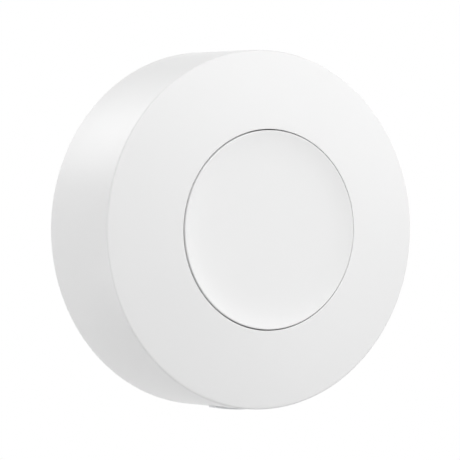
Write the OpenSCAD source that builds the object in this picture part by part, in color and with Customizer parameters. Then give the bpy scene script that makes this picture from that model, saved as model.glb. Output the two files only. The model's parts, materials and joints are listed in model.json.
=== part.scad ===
// Round wireless smart button for a wall. A crowned puck carries a dished push button in its
// face and a status light in its rim, and twists off a stuck-on base to reach its coin cell.
// Every module is drawn lying on its back, with z running from the wall to the front, and is
// then stood up so that the front faces -Y and +Z is up. The origin is where it meets the wall.
// The height of the housing follows from what it holds, from the base to the button.

/* [Housing] */
// Outside diameter of the housing
housing_d = 40; // [39:0.5:46]
// Thickness of the side wall
wall_t = 1.6; // [1.2:0.1:1.8]
// Radius of the sphere that the front is part of
crown_r = 78; // [65:1:100]
// Thickness of the crowned front
crown_t = 1.5; // [1.2:0.1:1.8]
// Rounding of the outer edges
edge_r = 0.3; // [0.1:0.05:0.5]

/* [Push button] */
// Diameter of the button cap
button_d = 22.06; // [19.5:0.01:24]
// Gap all round between the cap and its opening
button_gap = 0.15; // [0.1:0.01:0.3]
// How far the button goes in
button_travel = 0.5; // [0.3:0.05:0.6]
// Depth of the finger dish
dish_depth = 0.4; // [0.3:0.05:0.9]
// Diameter of the flat floor of the dish
dish_floor_d = 13; // [10:0.5:16]
// Thickness of the cap
cap_t = 1.3; // [1:0.1:1.5]
// Rounding of the cap's rim
cap_edge_r = 0.2; // [0.1:0.05:0.3]
// Wall of the cap's skirt
skirt_t = 1.2; // [0.9:0.1:1.5]
// Reach of the flange that keeps the cap in
flange_w = 1.1; // [0.8:0.1:1.3]
// Thickness of that flange
flange_t = 0.8; // [0.6:0.1:1]
// Wall of the guide collar round the opening
collar_t = 1.4; // [1.2:0.1:1.6]
// Length of the guide collar
collar_h = 2; // [1.8:0.1:2.2]
// Width of the ribs that stop the cap turning
key_w = 1.6; // [1:0.1:2.4]
// Diameter of the post that presses the switch
post_d = 3; // [2:0.1:4]
// Length of that post
post_l = 0.9; // [0.4:0.05:1.5]

/* [Wall base] */
// Thickness of the base plate
base_t = 1.5; // [1.2:0.1:2]
// How far the base stands behind the housing's rim
base_proud = 0.2; // [0.1:0.05:0.4]
// Gap all round between the base and the housing
base_gap = 0.2; // [0.15:0.05:0.4]
// Wall of the ring that carries the lugs
ring_t = 1.2; // [1:0.1:1.4]
// Reach of the housing's locking ledges
ledge_w = 1.4; // [1.1:0.1:1.6]
// Thickness of the ledges
ledge_h = 1; // [0.8:0.1:1.2]
// Thickness of the lugs
lug_h = 1; // [0.8:0.1:1.2]
// Angle that each lug spans
lug_arc = 22; // [16:1:25]
// Angle that each ledge reaches back from the middle of its lug
ledge_arc = 13; // [9:0.5:15]
// Gap between a lug and its ledge
lock_gap = 0.15; // [0.1:0.01:0.25]
// Number of lugs
lug_count = 3; // [2:1:4]
// Diameter of the adhesive pad
pad_d = 30; // [20:0.5:33]
// Thickness of the adhesive pad
pad_t = 0.8; // [0.6:0.1:1.2]
// How deep the pad sits in the base
pad_sink = 0.5; // [0.3:0.05:0.55]
// Width of the two finger notches in the base
notch_w = 5; // [3:0.5:7]
// Depth of the notches
notch_h = 0.75; // [0.5:0.05:1]

/* [Coin cell] */
// Diameter of the cell
cell_d = 24.5; // [20:0.1:26.5]
// Thickness of the cell
cell_h = 5; // [3.2:0.1:5.6]
// Sheet thickness of the cell's can and cap
cell_sheet = 0.3; // [0.2:0.05:0.4]
// Wall of the seal between the can and the cap
gasket_t = 1; // [0.8:0.1:1.4]
// Gap all round between the cell and its carrier
cell_gap = 0.2; // [0.1:0.05:0.3]
// Wall of the carrier's barrel
carrier_t = 1.6; // [1.2:0.1:1.8]
// Thickness of the carrier's flange
carrier_flange_t = 1.5; // [1.2:0.1:1.8]
// Diameter of the foam pad that steadies the cell
foam_d = 16; // [10:1:22]
// Thickness of the foam pad
foam_t = 0.5; // [0.3:0.05:0.8]

/* [Circuit board] */
// Thickness of the board
board_t = 1; // [0.8:0.1:1.2]
// Gap all round between the board and the housing
board_gap = 0.8; // [0.6:0.1:1.2]
// Room between the cell and the board for the contacts
contact_room = 1; // [0.8:0.1:1.3]
// Sheet thickness of the contacts
contact_t = 0.2; // [0.15:0.01:0.3]
// Width of the contacts
contact_w = 4; // [3:0.1:5]
// Diameter of the screw posts in the housing
boss_d = 3.6; // [3:0.1:4]
// Gap between a screw post and the side wall
boss_gap = 0.7; // [0.5:0.1:0.9]
// Diameter of the screws
screw_d = 1.5; // [1.2:0.1:1.7]
// Length of the screws under the head
screw_l = 5; // [4:0.1:5.5]
// Diameter of the screw heads
screw_head_d = 3; // [2.5:0.1:3.3]
// Height of the screw heads
screw_head_h = 1; // [0.7:0.1:1.2]

/* [Switch] */
// Side of the square switch
switch_w = 6; // [5.4:0.1:6.6]
// Height of the switch without its plunger
switch_h = 1.7; // [1.5:0.1:2]
// Diameter of the plunger
plunger_d = 3.2; // [2:0.1:3.6]
// How much of the plunger still stands out when it is pressed
plunger_left = 0.2; // [0.1:0.05:0.4]
// Thickness of the metal frame on the switch
frame_t = 0.2; // [0.15:0.05:0.3]

/* [Status light] */
// Width of the light window in the rim
window_w = 7; // [4:0.5:9]
// Height of the light window
window_h = 1.5; // [1:0.1:2]
// How far the window stands out of the rim
window_proud = 0.2; // [0.1:0.05:0.4]
// Distance of the window's middle behind the front edge
window_back = 4.75; // [4.3:0.05:5.2]

/* [Hidden] */
$fn = 96;

// Clearances
touch = 0.02;        // between faces that press together
slip = 0.05;         // round a piece that is pushed into a slot
run = 0.1;           // between a moving edge and what guides or stops it
play = 0.2;          // round a piece that is dropped into place
stop_gap = 0.5;      // degrees between a lug and its stop
eps = 0.01;          // overlap of shapes that are fused
past = 1;            // how far a cut runs past the face it opens

// Radii, from the outside in
housing_r = housing_d / 2;
inner_r = housing_r - wall_t;
base_r = inner_r - base_gap;
lug_r = base_r - run;
ledge_r = inner_r - ledge_w;
ring_r = ledge_r - base_gap;
board_r = inner_r - board_gap;
boss_at = inner_r - boss_gap - boss_d / 2;
cap_r = button_d / 2;
opening_r = cap_r + button_gap;
flange_r = cap_r + flange_w;
collar_r = opening_r + collar_t;
cap_inner_r = cap_r - skirt_t;
floor_r = dish_floor_d / 2;
cell_r = cell_d / 2;
pocket_r = cell_r + cell_gap;
barrel_r = pocket_r + carrier_t;
cell_cap_r = cell_r - cell_sheet - gasket_t;
pad_r = pad_d / 2;
pilot_r = screw_d / 2 + touch;
screw_hole_r = screw_d / 2 + play;

// Heights, from the wall to the front
base_z0 = pad_t - pad_sink;
base_z1 = base_z0 + base_t;
rim_z = base_z0 + base_proud;
ledge_z0 = base_z1 + 2 * lock_gap;
ledge_z1 = ledge_z0 + ledge_h;
lug_z0 = ledge_z1 + lock_gap;
lug_z1 = lug_z0 + lug_h;
cell_z0 = base_z1 + foam_t;
cell_z1 = cell_z0 + cell_h;
board_z0 = cell_z1 + contact_room;
board_z1 = board_z0 + board_t;
switch_z1 = board_z1 + switch_h;
plunger_z1 = switch_z1 + button_travel + plunger_left;
post_z0 = plunger_z1 + touch;
cap_under_z = post_z0 + post_l;
floor_z = cap_under_z + cap_t;
cap_z1 = floor_z + dish_depth;
front_z = cap_z1 - crown_rise(opening_r);
collar_z0 = cap_z1 - collar_h;
flange_z1 = collar_z0 - run;
flange_z0 = flange_z1 - flange_t;
carrier_z0 = lug_z1 + play;
carrier_flange_z0 = board_z0 - carrier_flange_t;
window_z = front_z - window_back;

// Rib on each ledge that stops the lug, in degrees from the lug's middle
stop_a0 = lug_arc / 2 + stop_gap;
stop_a1 = stop_a0 + 3;

// Inside of the switch
well_wall = 0.6;
well_r = switch_w / 2 - well_wall;
plunger_flange_t = 0.25;
frame_z0 = switch_z1 - frame_t;
plunger_z0 = frame_z0 - touch - plunger_flange_t;
well_z = plunger_z0 - button_travel - play;
dome_sheet = 0.1;
rivet = [0.7, 0.15];
rivet_inset = 0.7;
terminal = [1.2, 0.8, 0.2];
terminal_inset = 0.75;

// Edge of the cell
crimp_w = 0.9;
cap_step = 0.2;
can_bend = 0.5;
cap_bend = 0.4;
crimp_z = cell_z1 - cap_step;

// Soft ring
ring_foot_h = 0.5;
ring_foot_w = 1;
ring_lean = 0.3;

// Light window and the flat on the board that leaves room for it
flat_depth = 1.4;
flat_y = flat_depth - board_r;
led_size = [3, 1, 0.6];
window_flange = 0.6;
window_flange_t = 0.9;
window_gap = 0.4;

// Parts on the front of the board
part_gap = 0.6;
chip_size = [4, 4, 0.85];
crystal_size = [3.2, 2.5, 0.7];
bulk_size = [3.2, 2.6, 1.6];
antenna_size = [2, 5, 1.2];
antenna_angle = 150;
small_size = [1, 0.5, 0.5];
small_pitch = 1.1;
capacitor_count = 6;
resistor_count = 5;
chip_y = switch_w / 2 + part_gap + chip_size[1] / 2;
crystal_y = -(switch_w / 2 + part_gap + crystal_size[1] / 2);
bulk_x = switch_w / 2 + terminal[0] + part_gap + bulk_size[0] / 2;
capacitor_x = -(switch_w / 2 + terminal[0] + part_gap + small_size[0] / 2);
resistor_x = capacitor_x - small_size[0] - part_gap;

// Contacts: foot, bow that touches the cell, and free tip
contact_foot = 2.6;
contact_bow = 2;
contact_tip = 3.2;
leaf_foot = 4;
leaf_reach = 4.5;
leaf_tip = 2;

// Cross recess in the screw heads
cross_w = 0.45;
cross_inset = 0.6;

// Numbers of pieces that repeat, and where the first one is
screw_count = 3;
key_count = 3;
top_angle = 90;
key_angle = 30;

// Height of the crowned front above the front edge, at a radius
function crown_rise(r) = sqrt(pow(crown_r, 2) - r * r) - sqrt(pow(crown_r, 2) - pow(housing_r, 2));
// Points of the crown from radius a to radius b, lowered by d, in n steps
function crown(a, b, d, n) = [for (i = [0:n]) let (r = a + (b - a) * i / n) [r, front_z + crown_rise(r) - d]];
// Points of an arc round c, from angle a to angle b, in n steps
function arc(c, r, a, b, n) = [for (i = [0:n]) let (t = a + (b - a) * i / n) c + r * [cos(t), sin(t)]];

module stand() { rotate([90, 0, 0]) children(); }
module around(n, first = top_angle) { for (i = [0:n - 1]) rotate([0, 0, first + i * 360 / n]) children(); }
module block(size, at, z0) { translate([at[0] - size[0] / 2, at[1] - size[1] / 2, z0]) cube(size); }
module sector(r0, r1, z0, z1, a0, a1) {
    rotate([0, 0, a0]) rotate_extrude(angle = a1 - a0) translate([r0, z0]) square([r1 - r0, z1 - z0]);
}
module ring(r0, r1, z0, z1) {
    translate([0, 0, z0]) difference() {
        cylinder(r = r1, h = z1 - z0);
        translate([0, 0, -past]) cylinder(r = r0, h = z1 - z0 + 2 * past);
    }
}

// Side wall, crowned front and guide collar in one outline
module housing_outline() {
    rim_r = housing_r - edge_r;
    tilt = asin(rim_r / crown_r);
    polygon(concat(
        [[inner_r, rim_z]],
        arc([rim_r, rim_z + edge_r], edge_r, -90, 0, 6),
        arc([rim_r, front_z + crown_rise(rim_r) - edge_r], edge_r, 0, 90 - tilt, 6),
        crown(rim_r, opening_r + edge_r / 2, 0, 24),
        [[opening_r, cap_z1 - edge_r / 2], [opening_r, collar_z0], [collar_r, collar_z0]],
        crown(collar_r, inner_r, crown_t, 12)
    ));
}

module front_housing() {
    boss_h = front_z + crown_rise(boss_at + boss_d / 2) - crown_t / 2 - board_z1;
    pilot_l = screw_l - carrier_flange_t - board_t + play;
    color([0.93, 0.93, 0.93]) stand() difference() {
        union() {
            rotate_extrude() housing_outline();
            around(screw_count) translate([boss_at, 0, board_z1]) cylinder(d = boss_d, h = boss_h);
            around(lug_count) {
                sector(ledge_r, inner_r + wall_t / 2, ledge_z0, ledge_z1, -ledge_arc, stop_a1 + stop_gap);
                sector(ledge_r + run, inner_r + wall_t / 3, ledge_z1 - ledge_h / 2, lug_z1, stop_a0, stop_a1);
            }
            around(key_count, key_angle) translate([opening_r + slip, -key_w / 2, flange_z0])
                cube([collar_t - slip, key_w, collar_z0 - flange_z0 + eps]);
        }
        around(screw_count) translate([boss_at, 0, board_z1 - past]) cylinder(r = pilot_r, h = pilot_l + past);
        translate([-window_w / 2 - slip, -housing_r - past, window_z - window_h / 2 - slip])
            cube([window_w + 2 * slip, wall_t + 2 * past, window_h + 2 * slip]);
    }
}

// Dished top, skirt and flange of the cap in one outline
module cap_outline() {
    rim_r = cap_r - cap_edge_r;
    dish_angle = 2 * atan(dish_depth / (rim_r - floor_r));
    dish_r = (rim_r - floor_r) / sin(dish_angle);
    polygon(concat(
        [[0, cap_under_z], [0, floor_z]],
        arc([floor_r, floor_z + dish_r], dish_r, -90, dish_angle - 90, 12),
        arc([rim_r, cap_z1 - cap_edge_r], cap_edge_r, 90, 0, 5),
        [[cap_r, flange_z1], [flange_r, flange_z1], [flange_r, flange_z0], [cap_inner_r, flange_z0],
         [cap_inner_r, cap_under_z]]
    ));
}

module button_cap() {
    slot_w = key_w + 2 * run;
    color([0.94, 0.94, 0.94]) stand() difference() {
        union() {
            rotate_extrude() cap_outline();
            translate([0, 0, post_z0]) cylinder(d = post_d, h = post_l + eps);
        }
        around(key_count, key_angle) translate([cap_r, -slot_w / 2, flange_z0 - past])
            cube([flange_w + past, slot_w, flange_t + past + run / 2]);
    }
}

// Soft ring that lifts the cap and keeps dust out of the gap
module return_ring() {
    lip_r0 = cap_inner_r + play;
    lip_r1 = cap_r - run;
    foot_r = cap_r + ring_foot_w;
    foot_z = board_z1 + ring_foot_h;
    lip_z = flange_z0 - touch;
    color([0.75, 0.76, 0.78]) stand() rotate_extrude() polygon([
        [lip_r0, board_z1], [foot_r, board_z1], [foot_r, foot_z], [lip_r1 + ring_lean, foot_z],
        [lip_r1, lip_z], [lip_r0, lip_z], [lip_r0 + ring_lean, foot_z]
    ]);
}

// Frosted bar that brings the light out through the rim
module status_window() {
    outer_r = housing_r + window_proud;
    stem_r0 = window_gap - flat_y;
    flange_r1 = inner_r - slip;
    flange_w = window_w + 2 * window_flange;
    flange_h = window_h + 2 * window_flange;
    color([0.8, 0.81, 0.82]) stand() union() {
        intersection() {
            ring(stem_r0, outer_r, 0, front_z);
            translate([-window_w / 2, -outer_r, window_z - window_h / 2]) cube([window_w, outer_r, window_h]);
        }
        intersection() {
            ring(flange_r1 - window_flange_t, flange_r1, 0, front_z);
            translate([-flange_w / 2, -outer_r, window_z - flange_h / 2]) cube([flange_w, outer_r, flange_h]);
        }
    }
}

module circuit_board() {
    color([0.05, 0.32, 0.2]) stand() difference() {
        translate([0, 0, board_z0]) cylinder(r = board_r, h = board_t);
        translate([-board_r, flat_y - board_r, board_z0 - past]) cube([2 * board_r, board_r, board_t + 2 * past]);
        around(screw_count) translate([boss_at, 0, board_z0 - past])
            cylinder(r = screw_hole_r, h = board_t + 2 * past);
    }
}

module switch_base() {
    color([0.08, 0.08, 0.09]) stand() difference() {
        block([switch_w, switch_w, switch_h - frame_t], [0, 0], board_z1);
        translate([0, 0, well_z]) cylinder(r = well_r, h = switch_h);
    }
}

// Snap dome under the plunger
module switch_dome() {
    foot_z = well_z + dome_sheet;
    rise = plunger_z0 - touch - foot_z;
    foot_r = well_r - play;
    dome_r = (pow(foot_r, 2) + pow(rise, 2)) / (2 * rise);
    half = asin(foot_r / dome_r);
    centre = [0, foot_z + rise - dome_r];
    color([0.78, 0.76, 0.7]) stand() rotate_extrude() polygon(concat(
        arc(centre, dome_r, 90 - half, 90, 10), arc(centre, dome_r - dome_sheet, 90, 90 - half, 10)
    ));
}

module switch_plunger() {
    color([0.85, 0.82, 0.74]) stand() union() {
        translate([0, 0, plunger_z0]) cylinder(r = well_r - play, h = plunger_flange_t);
        translate([0, 0, plunger_z0]) cylinder(d = plunger_d, h = plunger_z1 - plunger_z0);
    }
}

// Metal plate that holds the plunger in, with a rivet at each corner
module switch_frame() {
    rivet_at = switch_w / 2 - rivet_inset;
    color([0.72, 0.73, 0.75]) stand() union() {
        difference() {
            block([switch_w, switch_w, frame_t], [0, 0], frame_z0);
            translate([0, 0, frame_z0 - past]) cylinder(r = plunger_d / 2 + slip, h = frame_t + 2 * past);
        }
        for (x = [-1, 1], y = [-1, 1]) translate([x * rivet_at, y * rivet_at, switch_z1 - eps])
            cylinder(d = rivet[0], h = rivet[1] + eps);
    }
}

module switch_terminals() {
    x = (switch_w + terminal[0]) / 2;
    y = switch_w / 2 - terminal_inset;
    color([0.8, 0.78, 0.7]) stand() for (i = [-1, 1], j = [-1, 1]) block(terminal, [i * x, j * y], board_z1);
}

module radio_chip() { color([0.1, 0.1, 0.11]) stand() block(chip_size, [0, chip_y], board_z1); }
module crystal() { color([0.75, 0.75, 0.76]) stand() block(crystal_size, [0, crystal_y], board_z1); }
module bulk_capacitor() { color([0.75, 0.5, 0.15]) stand() block(bulk_size, [bulk_x, 0], board_z1); }

// Column of small parts beside the switch
module small_parts(n, x) {
    for (i = [0:n - 1]) block(small_size, [x, (i - (n - 1) / 2) * small_pitch], board_z1);
}
module chip_capacitors() { color([0.62, 0.5, 0.36]) stand() small_parts(capacitor_count, capacitor_x); }
module chip_resistors() { color([0.12, 0.12, 0.13]) stand() small_parts(resistor_count, resistor_x); }

module chip_antenna() {
    at = (collar_r + board_r) / 2;
    color([0.9, 0.9, 0.88]) stand() rotate([0, 0, antenna_angle]) block(antenna_size, [at, 0], board_z1);
}

// Side-facing lamp on the back of the board, at the flat
module status_led() {
    color([0.95, 0.93, 0.8]) stand() block(led_size, [0, flat_y + run + led_size[1] / 2], board_z0 - led_size[2]);
}

// Spring strip from the board down to the side of the cell
module positive_contact() {
    bow_x = cell_r + slip;
    leg_x = pocket_r + play;
    bow_z = board_z0 - contact_room - contact_bow;
    tip_z = board_z0 - contact_room - contact_tip;
    color([0.85, 0.72, 0.35]) stand() rotate([90, 0, 0]) linear_extrude(contact_w, center = true) polygon([
        [leg_x + contact_foot, board_z0], [leg_x, board_z0], [bow_x, bow_z], [leg_x, tip_z],
        [leg_x + contact_t, tip_z], [bow_x + contact_t, bow_z], [leg_x + contact_t, board_z0 - contact_t],
        [leg_x + contact_foot, board_z0 - contact_t]
    ]);
}

// Leaf from the board down to the middle of the cell's cap
module negative_contact() {
    tip_z = cell_z1 + touch;
    color([0.85, 0.72, 0.35]) stand() rotate([90, 0, 0]) linear_extrude(contact_w, center = true) polygon([
        [-leaf_reach - leaf_foot, board_z0], [-leaf_reach, board_z0], [0, tip_z + contact_t],
        [leaf_tip, tip_z + 2 * contact_t], [leaf_tip, tip_z + contact_t], [0, tip_z],
        [-leaf_reach, board_z0 - contact_t], [-leaf_reach - leaf_foot, board_z0 - contact_t]
    ]);
}

// Barrel round the cell, with a flange that clamps the board to the housing
module cell_carrier() {
    seat_r = cell_r - crimp_w + play;
    notch = [window_w + 2 * (window_flange + play), board_r, carrier_flange_t + 2 * past];
    led_pocket = led_size + [2 * play, board_r, past];
    led_y = flat_y + run + led_size[1] + play;
    led_z0 = board_z0 - led_size[2] - play;
    slot = contact_w + 2 * play;
    slot_z0 = board_z0 - contact_room - contact_tip - play;
    color([0.2, 0.2, 0.21]) stand() difference() {
        union() {
            ring(pocket_r, barrel_r, carrier_z0, board_z0);
            ring(seat_r, barrel_r, crimp_z + touch, board_z0);
            ring(pocket_r, board_r, carrier_flange_z0, board_z0);
        }
        block(notch, [0, flat_y + play - notch[1] / 2], carrier_flange_z0 - past);
        block(led_pocket, [0, led_y - led_pocket[1] / 2], led_z0);
        translate([0, -slot / 2, slot_z0]) cube([board_r + past, slot, board_z0]);
        around(screw_count) {
            translate([boss_at, 0, carrier_z0]) cylinder(r = screw_hole_r, h = board_z0);
            translate([boss_at, 0, carrier_z0 - past])
                cylinder(d = screw_head_d + 2 * play, h = carrier_flange_z0 - carrier_z0 + past);
        }
    }
}

module carrier_screws() {
    cross = [cross_w, screw_head_d - 2 * cross_inset, screw_head_h / 2];
    color([0.6, 0.6, 0.62]) stand() around(screw_count) translate([boss_at, 0, carrier_flange_z0]) difference() {
        union() {
            translate([0, 0, -screw_head_h]) cylinder(d = screw_head_d, h = screw_head_h);
            translate([0, 0, -eps]) cylinder(d = screw_d, h = screw_l + eps);
        }
        for (a = [0, 90]) rotate([0, 0, a])
            translate([-cross[0] / 2, -cross[1] / 2, -screw_head_h - past]) cube(cross + [0, 0, past]);
    }
}

// Steel cup of the cell, crimped over at the front
module cell_can() {
    bore_r = cell_r - cell_sheet;
    color([0.76, 0.77, 0.78]) stand() rotate_extrude() polygon(concat(
        [[0, cell_z0]],
        arc([cell_r - can_bend, cell_z0 + can_bend], can_bend, -90, 0, 6),
        arc([cell_r - can_bend, crimp_z - can_bend], can_bend, 0, 90, 6),
        [[cell_r - crimp_w, crimp_z], [cell_r - crimp_w, crimp_z - cell_sheet], [bore_r, crimp_z - cell_sheet],
         [bore_r, cell_z0 + cell_sheet], [0, cell_z0 + cell_sheet]]
    ));
}

module cell_gasket() {
    color([0.15, 0.15, 0.16]) stand() ring(cell_cap_r + touch, cell_r - cell_sheet - touch,
        cell_z0 + cell_sheet + touch, crimp_z - cell_sheet - touch);
}

module cell_cap() {
    edge_z = cell_z0 + cell_h / 2;
    bore_r = cell_cap_r - cell_sheet;
    color([0.8, 0.8, 0.8]) stand() rotate_extrude() polygon(concat(
        [[cell_cap_r, edge_z]],
        arc([cell_cap_r - cap_bend, cell_z1 - cap_bend], cap_bend, 0, 90, 6),
        [[0, cell_z1], [0, cell_z1 - cell_sheet], [bore_r, cell_z1 - cell_sheet], [bore_r, edge_z]]
    ));
}

// Electrodes inside the cell
module cell_core() {
    core_r = cell_cap_r - cell_sheet - touch;
    z0 = cell_z0 + cell_sheet + touch;
    z1 = cell_z1 - cell_sheet - touch;
    color([0.25, 0.25, 0.25]) stand() translate([0, 0, z0]) cylinder(r = core_r, h = z1 - z0);
}

module cell_pad() { color([0.2, 0.2, 0.22]) stand() translate([0, 0, base_z1]) cylinder(d = foam_d, h = foam_t); }

// Plate that is stuck to the wall, with the lugs that hold the housing
module base_plate() {
    notch_r = (pad_r + base_r) / 2 + play;
    color([0.9, 0.9, 0.9]) stand() difference() {
        union() {
            translate([0, 0, base_z0]) cylinder(r = base_r, h = base_t);
            ring(ring_r - ring_t, ring_r, base_z1 - eps, lug_z1);
            around(lug_count) sector(ring_r - ring_t / 2, lug_r, lug_z0, lug_z1 - eps, -lug_arc / 2, lug_arc / 2);
        }
        translate([0, 0, base_z0 - past]) cylinder(r = pad_r + run, h = pad_sink + past);
        around(2, 0) translate([notch_r, -notch_w / 2, base_z0 - past]) cube([base_r, notch_w, notch_h + past]);
    }
}

module adhesive_pad() { color([0.85, 0.86, 0.88]) stand() cylinder(r = pad_r, h = pad_t); }

front_housing();
button_cap();
return_ring();
status_window();
circuit_board();
switch_base();
switch_dome();
switch_plunger();
switch_frame();
switch_terminals();
radio_chip();
crystal();
bulk_capacitor();
chip_capacitors();
chip_resistors();
chip_antenna();
status_led();
positive_contact();
negative_contact();
cell_carrier();
carrier_screws();
cell_can();
cell_gasket();
cell_cap();
cell_core();
cell_pad();
base_plate();
adhesive_pad();
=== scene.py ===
# %% [markdown]
# # A round wall button
# The construction of this button is finished: its solids have their real sizes and joints. In this
# lesson Blender gives it its looks. The outer mouldings are turned again as smooth meshes that sit
# where the solids sit, every piece gets a finish made of nodes, and a small studio lights it.

# %% Load the frame
import json
import math
import bpy
from mathutils import Matrix, Vector

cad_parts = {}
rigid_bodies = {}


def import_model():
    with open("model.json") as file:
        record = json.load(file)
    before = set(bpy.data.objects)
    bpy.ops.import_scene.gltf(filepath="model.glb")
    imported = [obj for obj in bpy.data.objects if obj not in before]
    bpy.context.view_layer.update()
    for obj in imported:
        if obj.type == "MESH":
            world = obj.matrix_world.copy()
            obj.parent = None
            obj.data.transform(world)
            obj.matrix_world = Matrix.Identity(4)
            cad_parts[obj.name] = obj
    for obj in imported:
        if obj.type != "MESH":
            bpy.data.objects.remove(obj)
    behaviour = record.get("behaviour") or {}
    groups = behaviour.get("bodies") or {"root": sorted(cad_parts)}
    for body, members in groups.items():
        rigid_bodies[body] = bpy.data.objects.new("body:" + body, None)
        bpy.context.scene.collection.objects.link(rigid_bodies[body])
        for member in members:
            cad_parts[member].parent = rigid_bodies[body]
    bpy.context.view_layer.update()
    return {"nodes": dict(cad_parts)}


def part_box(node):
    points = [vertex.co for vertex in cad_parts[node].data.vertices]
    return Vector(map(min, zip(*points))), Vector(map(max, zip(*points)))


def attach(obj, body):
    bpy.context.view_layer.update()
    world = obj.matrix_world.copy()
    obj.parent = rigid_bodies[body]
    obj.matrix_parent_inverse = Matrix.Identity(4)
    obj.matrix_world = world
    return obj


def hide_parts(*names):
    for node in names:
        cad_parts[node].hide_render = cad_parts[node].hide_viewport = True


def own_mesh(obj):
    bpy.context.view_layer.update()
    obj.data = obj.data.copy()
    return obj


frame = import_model()

# %% [markdown]
# ## Measures
# The button's axis is the Y axis. The wall it hangs on is the plane y = 0 and the front looks along
# -Y, so a point of an outline needs only two numbers: its radius and its depth in front of the wall.
# The outer sizes are read from the solids, and the fine ones, such as edge roundings, are named where
# they are used. The rear rim, the cap's rim and the opening's lip stand a hair off the solids, because
# the outlines of the real button fit better so.

# %% Measures of the outside
MM = 0.001
housing_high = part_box("front_housing")[1]
outer_r = housing_high.x
rim_depth = -housing_high.y - 0.2 * MM
face_depth = -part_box("button_cap")[0].y
crown_r = 87 * MM
lip_depth = face_depth - 0.05 * MM
cap_top = face_depth + 0.05 * MM
gap_r = 11.12 * MM
gap_w = 0.125 * MM


def crown_rise(r):
    """How far the crowned front stands before its own edge, at radius r."""
    return math.sqrt(crown_r ** 2 - r ** 2) - math.sqrt(crown_r ** 2 - outer_r ** 2)


edge_depth = lip_depth - crown_rise(gap_r)
print("outer radius, side wall and crown in mm:",
      [round(v / MM, 2) for v in (outer_r, edge_depth - rim_depth, face_depth - edge_depth)])

# %% [markdown]
# ## Camera
# A product picture like this is taken from some distance with a long lens, so the round front
# keeps its shape and the side wall hardly tapers. The camera could be set by eye in the viewport, but
# angles and a distance in numbers can be repeated. It looks at the middle of the front edge from the
# left, almost level, and stands a little aside so that the button sits right in the frame.

# %% Camera
AZIMUTH, ELEVATION = math.radians(-31.9), math.radians(0.85)
CAMERA_DISTANCE = 450 * MM
CAMERA_ASIDE = Vector((-3.495 * MM, -0.031 * MM))
FRAME_PIXELS, LENS_PIXELS = 460, 4047


def towards(azimuth, elevation):
    """The direction to a place round the button: azimuth 0 is in front, and a right angle is to the right."""
    level = math.cos(elevation)
    return Vector((math.sin(azimuth) * level, -math.cos(azimuth) * level, math.sin(elevation)))


back = towards(AZIMUTH, ELEVATION)
right = Vector((0, 0, 1)).cross(back).normalized()
up = back.cross(right)
target = Vector((0, -12.51 * MM, 0))

bpy.ops.object.select_all(action="DESELECT")
stand = target + back * CAMERA_DISTANCE + right * CAMERA_ASIDE.x + up * CAMERA_ASIDE.y
bpy.ops.object.camera_add(location=stand)
camera = bpy.context.object
camera.rotation_euler = Matrix((right, up, back)).transposed().to_euler()
camera.data.sensor_width = 36
camera.data.lens = LENS_PIXELS * camera.data.sensor_width / FRAME_PIXELS
camera.data.clip_start = 10 * MM
bpy.context.scene.camera = camera
bpy.context.scene.view_settings.view_transform = "Standard"
print("lens in mm:", round(camera.data.lens, 1))

# %% [markdown]
# ## Working by hand, in code
# An operator acts on whatever is selected, so each step first says which piece it is about. With no
# mouse, faces are picked by where they are: the helper clears the old selection, marks each face
# whose centre passes a test, and goes back to edit mode with those selected. Numbers of faces would
# be shorter to write, but they change as soon as a step before them does.

# %% Pick pieces and faces
def pick(*pieces):
    """Select only these pieces, with the first one active."""
    bpy.ops.object.select_all(action="DESELECT")
    for piece in pieces:
        piece.select_set(True)
    bpy.context.view_layer.objects.active = pieces[0]


def pick_faces(piece, test):
    """Edit mode on a piece, with the faces selected whose centre passes the test."""
    pick(piece)
    bpy.ops.object.mode_set(mode="EDIT")
    bpy.ops.mesh.select_mode(type="FACE")
    bpy.ops.mesh.select_all(action="DESELECT")
    bpy.ops.object.mode_set(mode="OBJECT")
    for face in piece.data.polygons:
        face.select = test(face.center)
    print(piece.name, "faces picked:", sum(face.select for face in piece.data.polygons))
    bpy.ops.object.mode_set(mode="EDIT")


# %% [markdown]
# ## Turning on the lathe
# Most pieces here are round, so one helper does the work of a lathe. It starts from a small plane
# whose corners are merged into one point, extrudes that point along an outline, and spins the
# outline round the button's axis. Where the spin closes on itself the doubles are merged, and the
# normals are turned outwards. Cylinders with bevelled edges could stand in for some of the pieces,
# but an outline can have a rounding of its own at every corner.

# %% Lathe
TURN_STEPS = 360
SHARP_ANGLE = math.radians(32)
MERGE = 0.001 * MM


def arc(centre, radius, start, stop, steps):
    """Points of an arc round a (radius, depth) centre, angles in degrees."""
    angles = [math.radians(start + (stop - start) * i / steps) for i in range(steps + 1)]
    return [(centre[0] + radius * math.cos(a), centre[1] + radius * math.sin(a)) for a in angles]


def draw_outline(name, outline):
    """A new object in edit mode with one chain of edges through the outline's points."""
    bpy.ops.object.select_all(action="DESELECT")
    bpy.ops.mesh.primitive_plane_add(size=MM)
    piece = bpy.context.object
    piece.name = piece.data.name = name
    bpy.ops.object.mode_set(mode="EDIT")
    bpy.ops.mesh.select_mode(type="VERT")
    bpy.ops.mesh.merge(type="CENTER")
    bpy.ops.transform.translate(value=(outline[0][0], -outline[0][1], 0))
    for (r0, d0), (r1, d1) in zip(outline, outline[1:]):
        bpy.ops.mesh.extrude_vertices_move(TRANSFORM_OT_translate={"value": (r1 - r0, d0 - d1, 0)})
    return piece


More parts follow.
